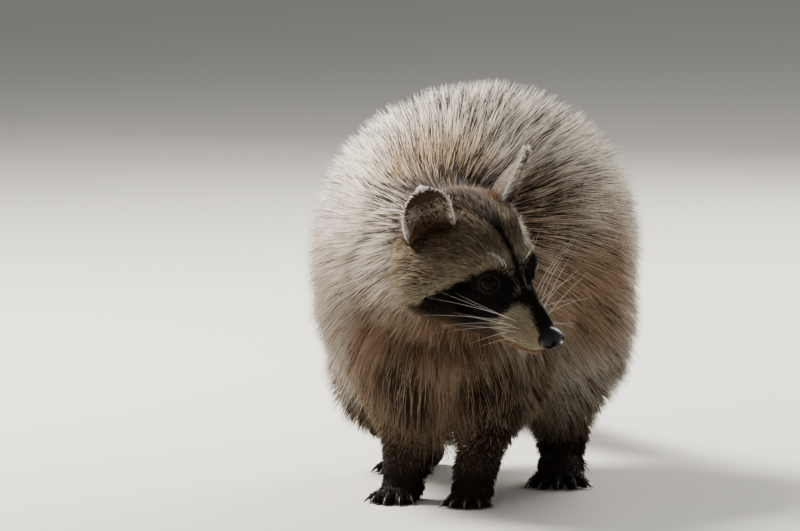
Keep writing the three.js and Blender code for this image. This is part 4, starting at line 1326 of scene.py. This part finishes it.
# Rows of whiskers from the top down on each side: the way they leave, the way they end, how
# many there are and how long they are. The near ones are swept back, the far ones spread.
WHISKERS = {
    "right": (((-0.66, -0.7, 0.3), (-0.74, -0.62, 0.22), 3, 54),
              ((-0.64, -0.72, 0.16), (-0.74, -0.66, 0.06), 3, 52),
              ((-0.62, -0.78, 0.04), (-0.66, -0.7, -0.16), 3, 46),
              ((-0.6, -0.74, -0.2), (-0.7, -0.5, -0.5), 2, 30)),
    "left": (((-0.44, 0.66, 0.62), (0.16, 0.62, 0.74), 4, 58),
             ((-0.1, 0.8, 0.55), (0.3, 0.76, 0.5), 3, 52),
             ((0.1, 0.86, 0.42), (0.56, 0.7, 0.2), 2, 44),
             ((0.36, 0.8, 0.2), (0.5, 0.7, -0.1), 2, 30)),
}
WHISKER_RADIUS = {"right": 0.105, "left": 0.18, "brow": 0.15}
WHISKER_LIMIT = 130  # how far to the animal's left a whisker may reach


def build_whiskers(rng):
    """Stiff hairs in four rows on each side of the muzzle, with a few over the eyes:
    w(t) = root + L * (d t + (b - d) t^2 / 2), which turns from the way d to the way b."""
    roots, ways, bends, longs, thick = [], [], [], [], []
    for name, rows in WHISKERS.items():
        s = SIDES[name]
        for row, (way, bend, count, reach) in enumerate(rows):
            for n in range(count):
                roots.append((9 + 17 * (n + 0.5 * (row % 2)) / count, s * 13, -23 - 4.0 * row))
                ways.append(np.add(way, (0, 0, 0.11 * (n - 1))))
                bends.append(np.add(bend, (0, 0, 0.15 * (n - 1))))
                longs.append(reach * (1.05 - 0.1 * n))
                thick.append(WHISKER_RADIUS[name])
        for n in range(2):
            roots.append((2 + 2.5 * n, s * (12 - 2 * n), 12))
            ways.append((0.2, s * 0.45, 0.85))
            bends.append((-0.6, s * 0.7, 0.3))
            longs.append(26 - 4 * n)
            thick.append(WHISKER_RADIUS["brow"])
    roots, ways, bends = (np.array(v, float) for v in (roots, ways, bends))
    for _ in range(12):
        d = head_skin(roots)
        roots -= gradient(head_skin, roots, d) * np.clip(d, -2, 2)[:, None]
    jitter = rng.normal(0, 0.05, (2, len(roots), 3))
    ways, bends = unit(ways + jitter[0]), unit(bends + jitter[1])
    longs = np.array(longs) * rng.uniform(0.85, 1.12, len(roots))
    start, reach = from_head(roots)[:, 0], longs * ((ways + bends) / 2 @ HEAD_AXES.T)[:, 0]
    longs = longs * np.clip((WHISKER_LIMIT - start) / np.maximum(reach, 1e-3), 0.5, 1)
    t = np.linspace(0, 1, 12)
    q = roots[:, None] + longs[:, None, None] * (ways[:, None] * t[:, None]
                                                 + (bends - ways)[:, None] * (t * t / 2)[:, None])
    radii = np.array(thick)[:, None] * (1 - 0.75 * t)
    return tubes("whiskers", from_head(q), radii, 5)


# ---------------------------------------------------------------- materials


def node(tree, kind, links=(), **settings):
    """Adds a shader node: its own settings in small letters, its sockets by their names, and its
    links as pairs of a socket and another node's output."""
    made = tree.nodes.new(kind)
    for name, value in settings.items():
        if name[0].islower():
            setattr(made, name, value)
        else:
            made.inputs[name.replace("_", " ")].default_value = value
    for socket, output in dict(links).items():
        tree.links.new(output, made.inputs[socket])
    return made


def new_material(name):
    """An empty material and its tree."""
    material = bpy.data.materials.new(name)
    material.use_nodes = True
    material.node_tree.nodes.clear()
    return material, material.node_tree


def surface(tree, links, **values):
    """The principled surface of a material."""
    shader = node(tree, "ShaderNodeBsdfPrincipled", links, **values)
    node(tree, "ShaderNodeOutputMaterial", {"Surface": shader.outputs["BSDF"]})


def grain(tree, texture, millimetres, **settings):
    """A procedural texture on Object coordinates whose lumps have a real size."""
    place = node(tree, "ShaderNodeTexCoord")
    return node(tree, texture, {"Vector": place.outputs["Object"]}, Scale=1000 / millimetres, **settings)


def mottled_tint(tree, millimetres, low, high):
    """A colour: the stored tint, lightened and darkened by noise of a real size."""
    tint = node(tree, "ShaderNodeAttribute", attribute_name="tint")
    noise = grain(tree, "ShaderNodeTexNoise", millimetres, Detail=2.0)
    level = node(tree, "ShaderNodeMapRange", {"Value": noise.outputs["Fac"]}, To_Min=low, To_Max=high)
    times = node(tree, "ShaderNodeVectorMath", {"Vector": tint.outputs["Color"],
                                                "Scale": level.outputs["Result"]}, operation="SCALE")
    return times.outputs["Vector"]


def two_tones(tree, millimetres, detail, dark, pale):
    """A colour: noise of a real size that runs from a dark to a pale tone."""
    noise = grain(tree, "ShaderNodeTexNoise", millimetres, Detail=detail)
    ramp = node(tree, "ShaderNodeValToRGB", {"Fac": noise.outputs["Fac"]})
    for stop, tone in zip(ramp.color_ramp.elements, (dark, pale)):
        stop.color = (*linear(tone), 1)
    return ramp.outputs["Color"]


def relief(tree, texture, millimetres, height, output="Fac", **settings):
    """A bump from a texture of a real size, as deep as the height in metres."""
    lumps = grain(tree, texture, millimetres, **settings)
    made = node(tree, "ShaderNodeBump", {"Height": lumps.outputs[output]}, Strength=1.0, Distance=height)
    return made.outputs["Normal"]


def hair_material():
    """Keratin hair: its root-to-tip colour is on each point, and its shine is soft and low."""
    material, tree = new_material("coat hair")
    surface(tree, {"Base Color": mottled_tint(tree, 3.0, 0.86, 1.14)},
            Roughness=0.65, IOR=1.45, Specular_IOR_Level=0.1)
    return material


def skin_material():
    """Skin under dense short hair: the coat's markings, darkened as painted shade under the hair, over a
    fine matted relief, dull.
    """
    material, tree = new_material("skin under the coat")
    surface(tree, {"Base Color": mottled_tint(tree, 1.2, 0.7, 1.2),
                   "Normal": relief(tree, "ShaderNodeTexNoise", 0.7, 0.0003, Detail=3.0)},
            Roughness=0.75, IOR=1.45, Specular_IOR_Level=0.15)
    return material


def eye_material():
    """A wet cornea over a very dark brown iris: smooth enough for small sharp lights."""
    material, tree = new_material("wet eye")
    surface(tree, {"Base Color": mottled_tint(tree, 0.5, 0.8, 1.2)},
            Roughness=0.02, IOR=1.34, Specular_IOR_Level=0.08)
    return material


def nose_material():
    """Black pebbled nose leather, moist enough to shine in broad soft spots."""
    material, tree = new_material("nose leather")
    surface(tree, {"Base Color": two_tones(tree, 5 / 3, 3.0, "#050404", "#161111"),
                   "Normal": relief(tree, "ShaderNodeTexVoronoi", 0.95, 0.00028, output="Distance")},
            Roughness=0.42, IOR=1.42, Coat_Weight=0.05, Coat_Roughness=0.12, Specular_IOR_Level=0.25)
    return material


def horn_material():
    """Claw horn: dark and satin, with paler patches of noise as painted highlights."""
    material, tree = new_material("claw horn")
    surface(tree, {"Base Color": two_tones(tree, 2.5, 4.0, "#1b1512", "#5c4c3f"),
                   "Normal": relief(tree, "ShaderNodeTexNoise", 0.5, 0.00006, Detail=2.0)},
            Roughness=0.32, IOR=1.54)
    return material


def whisker_material():
    """Stiff off-white whisker hair, darker in places."""
    material, tree = new_material("whisker")
    surface(tree, {"Base Color": two_tones(tree, 50 / 3, 1.0, "#d8cbb8", "#fbf7ee")},
            Roughness=0.35, IOR=1.55)
    return material


def floor_material():
    """A plain pale matt studio floor."""
    material, tree = new_material("studio floor")
    surface(tree, {}, Base_Color=(*linear("#d8d4cc"), 1), Roughness=0.8)
    return material


# ---------------------------------------------------------------- putting it together


def dress(piece, material):
    """Gives a piece its material and its slot, and fixes it to the one body."""
    piece.data.materials.append(material)
    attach(piece, "root")


def points_of(piece):
    """A piece's points in the body's frame, in millimetres."""
    at = np.empty(len(piece.data.vertices) * 3)
    piece.data.vertices.foreach_get("co", at)
    return at.reshape(-1, 3) * 1000 - SHIFT


def paint_skin(rng):
    """The skin's colours: the coat's markings at the root, darkened as painted shade under the dense hair,
    and bare dark places.
    """
    p = points_of(skin)
    w = region_weights(p)
    pick = rng.random((len(p), 4)) * 0.3 + 0.35
    under = outline(p)
    seen = p - gradient(outline, p, under) * under[:, None]
    root, middle, _ = coat_tints(p, seen, w, pick)
    # painted shade: the skin takes the coat's root and middle colours at 0.62, as if shaded by the hair over
    # it
    tint = mix(root, middle, np.full(len(p), 0.45)) * 0.62
    tint = mix(tint, TINT["pink"] * 0.8, lip_line(to_head(p), 2.4, 1.2))
    tint = mix(tint, TINT["lip"], bare(p) * (p[:, 2] > 4))
    tint = mix(tint, linear("#2b211d"), smooth(3.0, 1.0, p[:, 2]))
    paint(skin, tint)


rng = np.random.default_rng(41)
skin = build_skin()
paint_skin(rng)
dress(skin, skin_material())
tail_bands = [f"tail_band_{n}" for n in range(1, 10)]
leg_nodes = [f"{k}leg_{part}_{s}" for k, s in FEET for part in ("upper", "lower")]
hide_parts("chest", "abdomen", "hindquarters", "neck", "head", "lower_jaw", "ear_left", "ear_right",
            *tail_bands, *leg_nodes, *(f"{k}paw_{s}" for k, s in FEET))

wet = eye_material()
for s in SIDES.values():
    eye = build_eye(s)
    dress(eye, wet)
    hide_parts("eye_left" if s > 0 else "eye_right")
nose = build_nose()
dress(nose, nose_material())
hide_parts("nose")
dress(build_claws(), horn_material())
dress(build_whiskers(rng), whisker_material())

hair = grow_hair(rng)
piece_number = coat_piece_of(hair["root"], hair["weights"])
hair_stuff = hair_material()
for number, name in enumerate(COAT_PIECES):
    piece = tuft_mesh(name, hair, piece_number == number)
    dress(piece, hair_stuff)

# ---------------------------------------------------------------- floor, light, camera


def plane(name, size):
    """A square at floor level about the origin."""
    half = size / 2
    corners = np.array([(-half, -half, 0), (half, -half, 0), (half, half, 0), (-half, half, 0)])
    return new_mesh(name, corners, [np.array([[0, 1, 2, 3]])], smooth_shaded=False)


floor = plane("floor", 30)
floor.data.materials.append(floor_material())

# The camera: degrees round and down, millimetres away, pixels to the millimetre at the body's
# origin, the pixel that the origin falls on, and the picture's size in pixels.
VIEW = {"turn": 13, "down": 5.5, "distance": 5000, "scale": 1.4, "origin_at": (437, 502),
        "image": (800, 531)}
turn, down = math.radians(VIEW["turn"]), math.radians(VIEW["down"])
right = np.array((math.cos(turn), math.sin(turn), 0))
ahead = np.array((-math.sin(turn) * math.cos(down), math.cos(turn) * math.cos(down), -math.sin(down)))
upward = np.cross(right, ahead)
aim = (right * (VIEW["image"][0] / 2 - VIEW["origin_at"][0])
       + upward * (VIEW["origin_at"][1] - VIEW["image"][1] / 2)) / VIEW["scale"]
camera_data = bpy.data.cameras.new("camera")
camera_data.sensor_width = 36
camera_data.lens = camera_data.sensor_width * VIEW["scale"] * VIEW["distance"] / VIEW["image"][0]
camera_data.clip_end = 100
camera = bpy.data.objects.new("camera", camera_data)
bpy.context.scene.collection.objects.link(camera)
camera.location = metres(aim - ahead * VIEW["distance"])
camera.rotation_euler = Vector(ahead).to_track_quat("-Z", "Y").to_euler()
bpy.context.scene.camera = camera


def soft_light(name, at, size, power, colour):
    """A square soft light that shines at the animal's middle."""
    data = bpy.data.lights.new(name, "AREA")
    data.size = size
    data.energy = power
    data.color = colour
    lamp = bpy.data.objects.new(name, data)
    bpy.context.scene.collection.objects.link(lamp)
    lamp.location = at
    lamp.rotation_euler = (Vector((0, 0, 0.16)) - Vector(at)).to_track_quat("-Z", "Y").to_euler()


# Each light's name, its place in metres to the camera's right, ahead and up, its size in metres,
# its power in watts and its colour.
LIGHTS = (
    ("key from behind", (-1.3, 0.8, 1.9), 0.9, 195, (1.0, 0.97, 0.92)),
    ("rim right", (0.9, 2.0, 1.5), 1.2, 60, (1.0, 0.97, 0.92)),
    ("fill in front", (-1.3, -2.0, 1.5), 0.6, 6, (1.0, 0.98, 0.95)),
    ("eye light", (-0.4, -2.3, 0.7), 0.2, 4, (1.0, 1.0, 1.0)),
    ("fill right", (1.8, -0.6, 1.0), 1.5, 6, (0.95, 0.97, 1.0)),
)
for name, (to_right, to_front, height), size, power, colour in LIGHTS:
    soft_light(name, right * to_right + ahead * to_front + np.array((0, 0, height)), size, power, colour)
world = bpy.data.worlds.new("studio")
world.use_nodes = True
sky = world.node_tree.nodes["Background"]
sky.inputs["Color"].default_value = (0.86, 0.88, 0.9, 1)
sky.inputs["Strength"].default_value = 0.3
bpy.context.scene.world = world

bpy.context.view_layer.update()
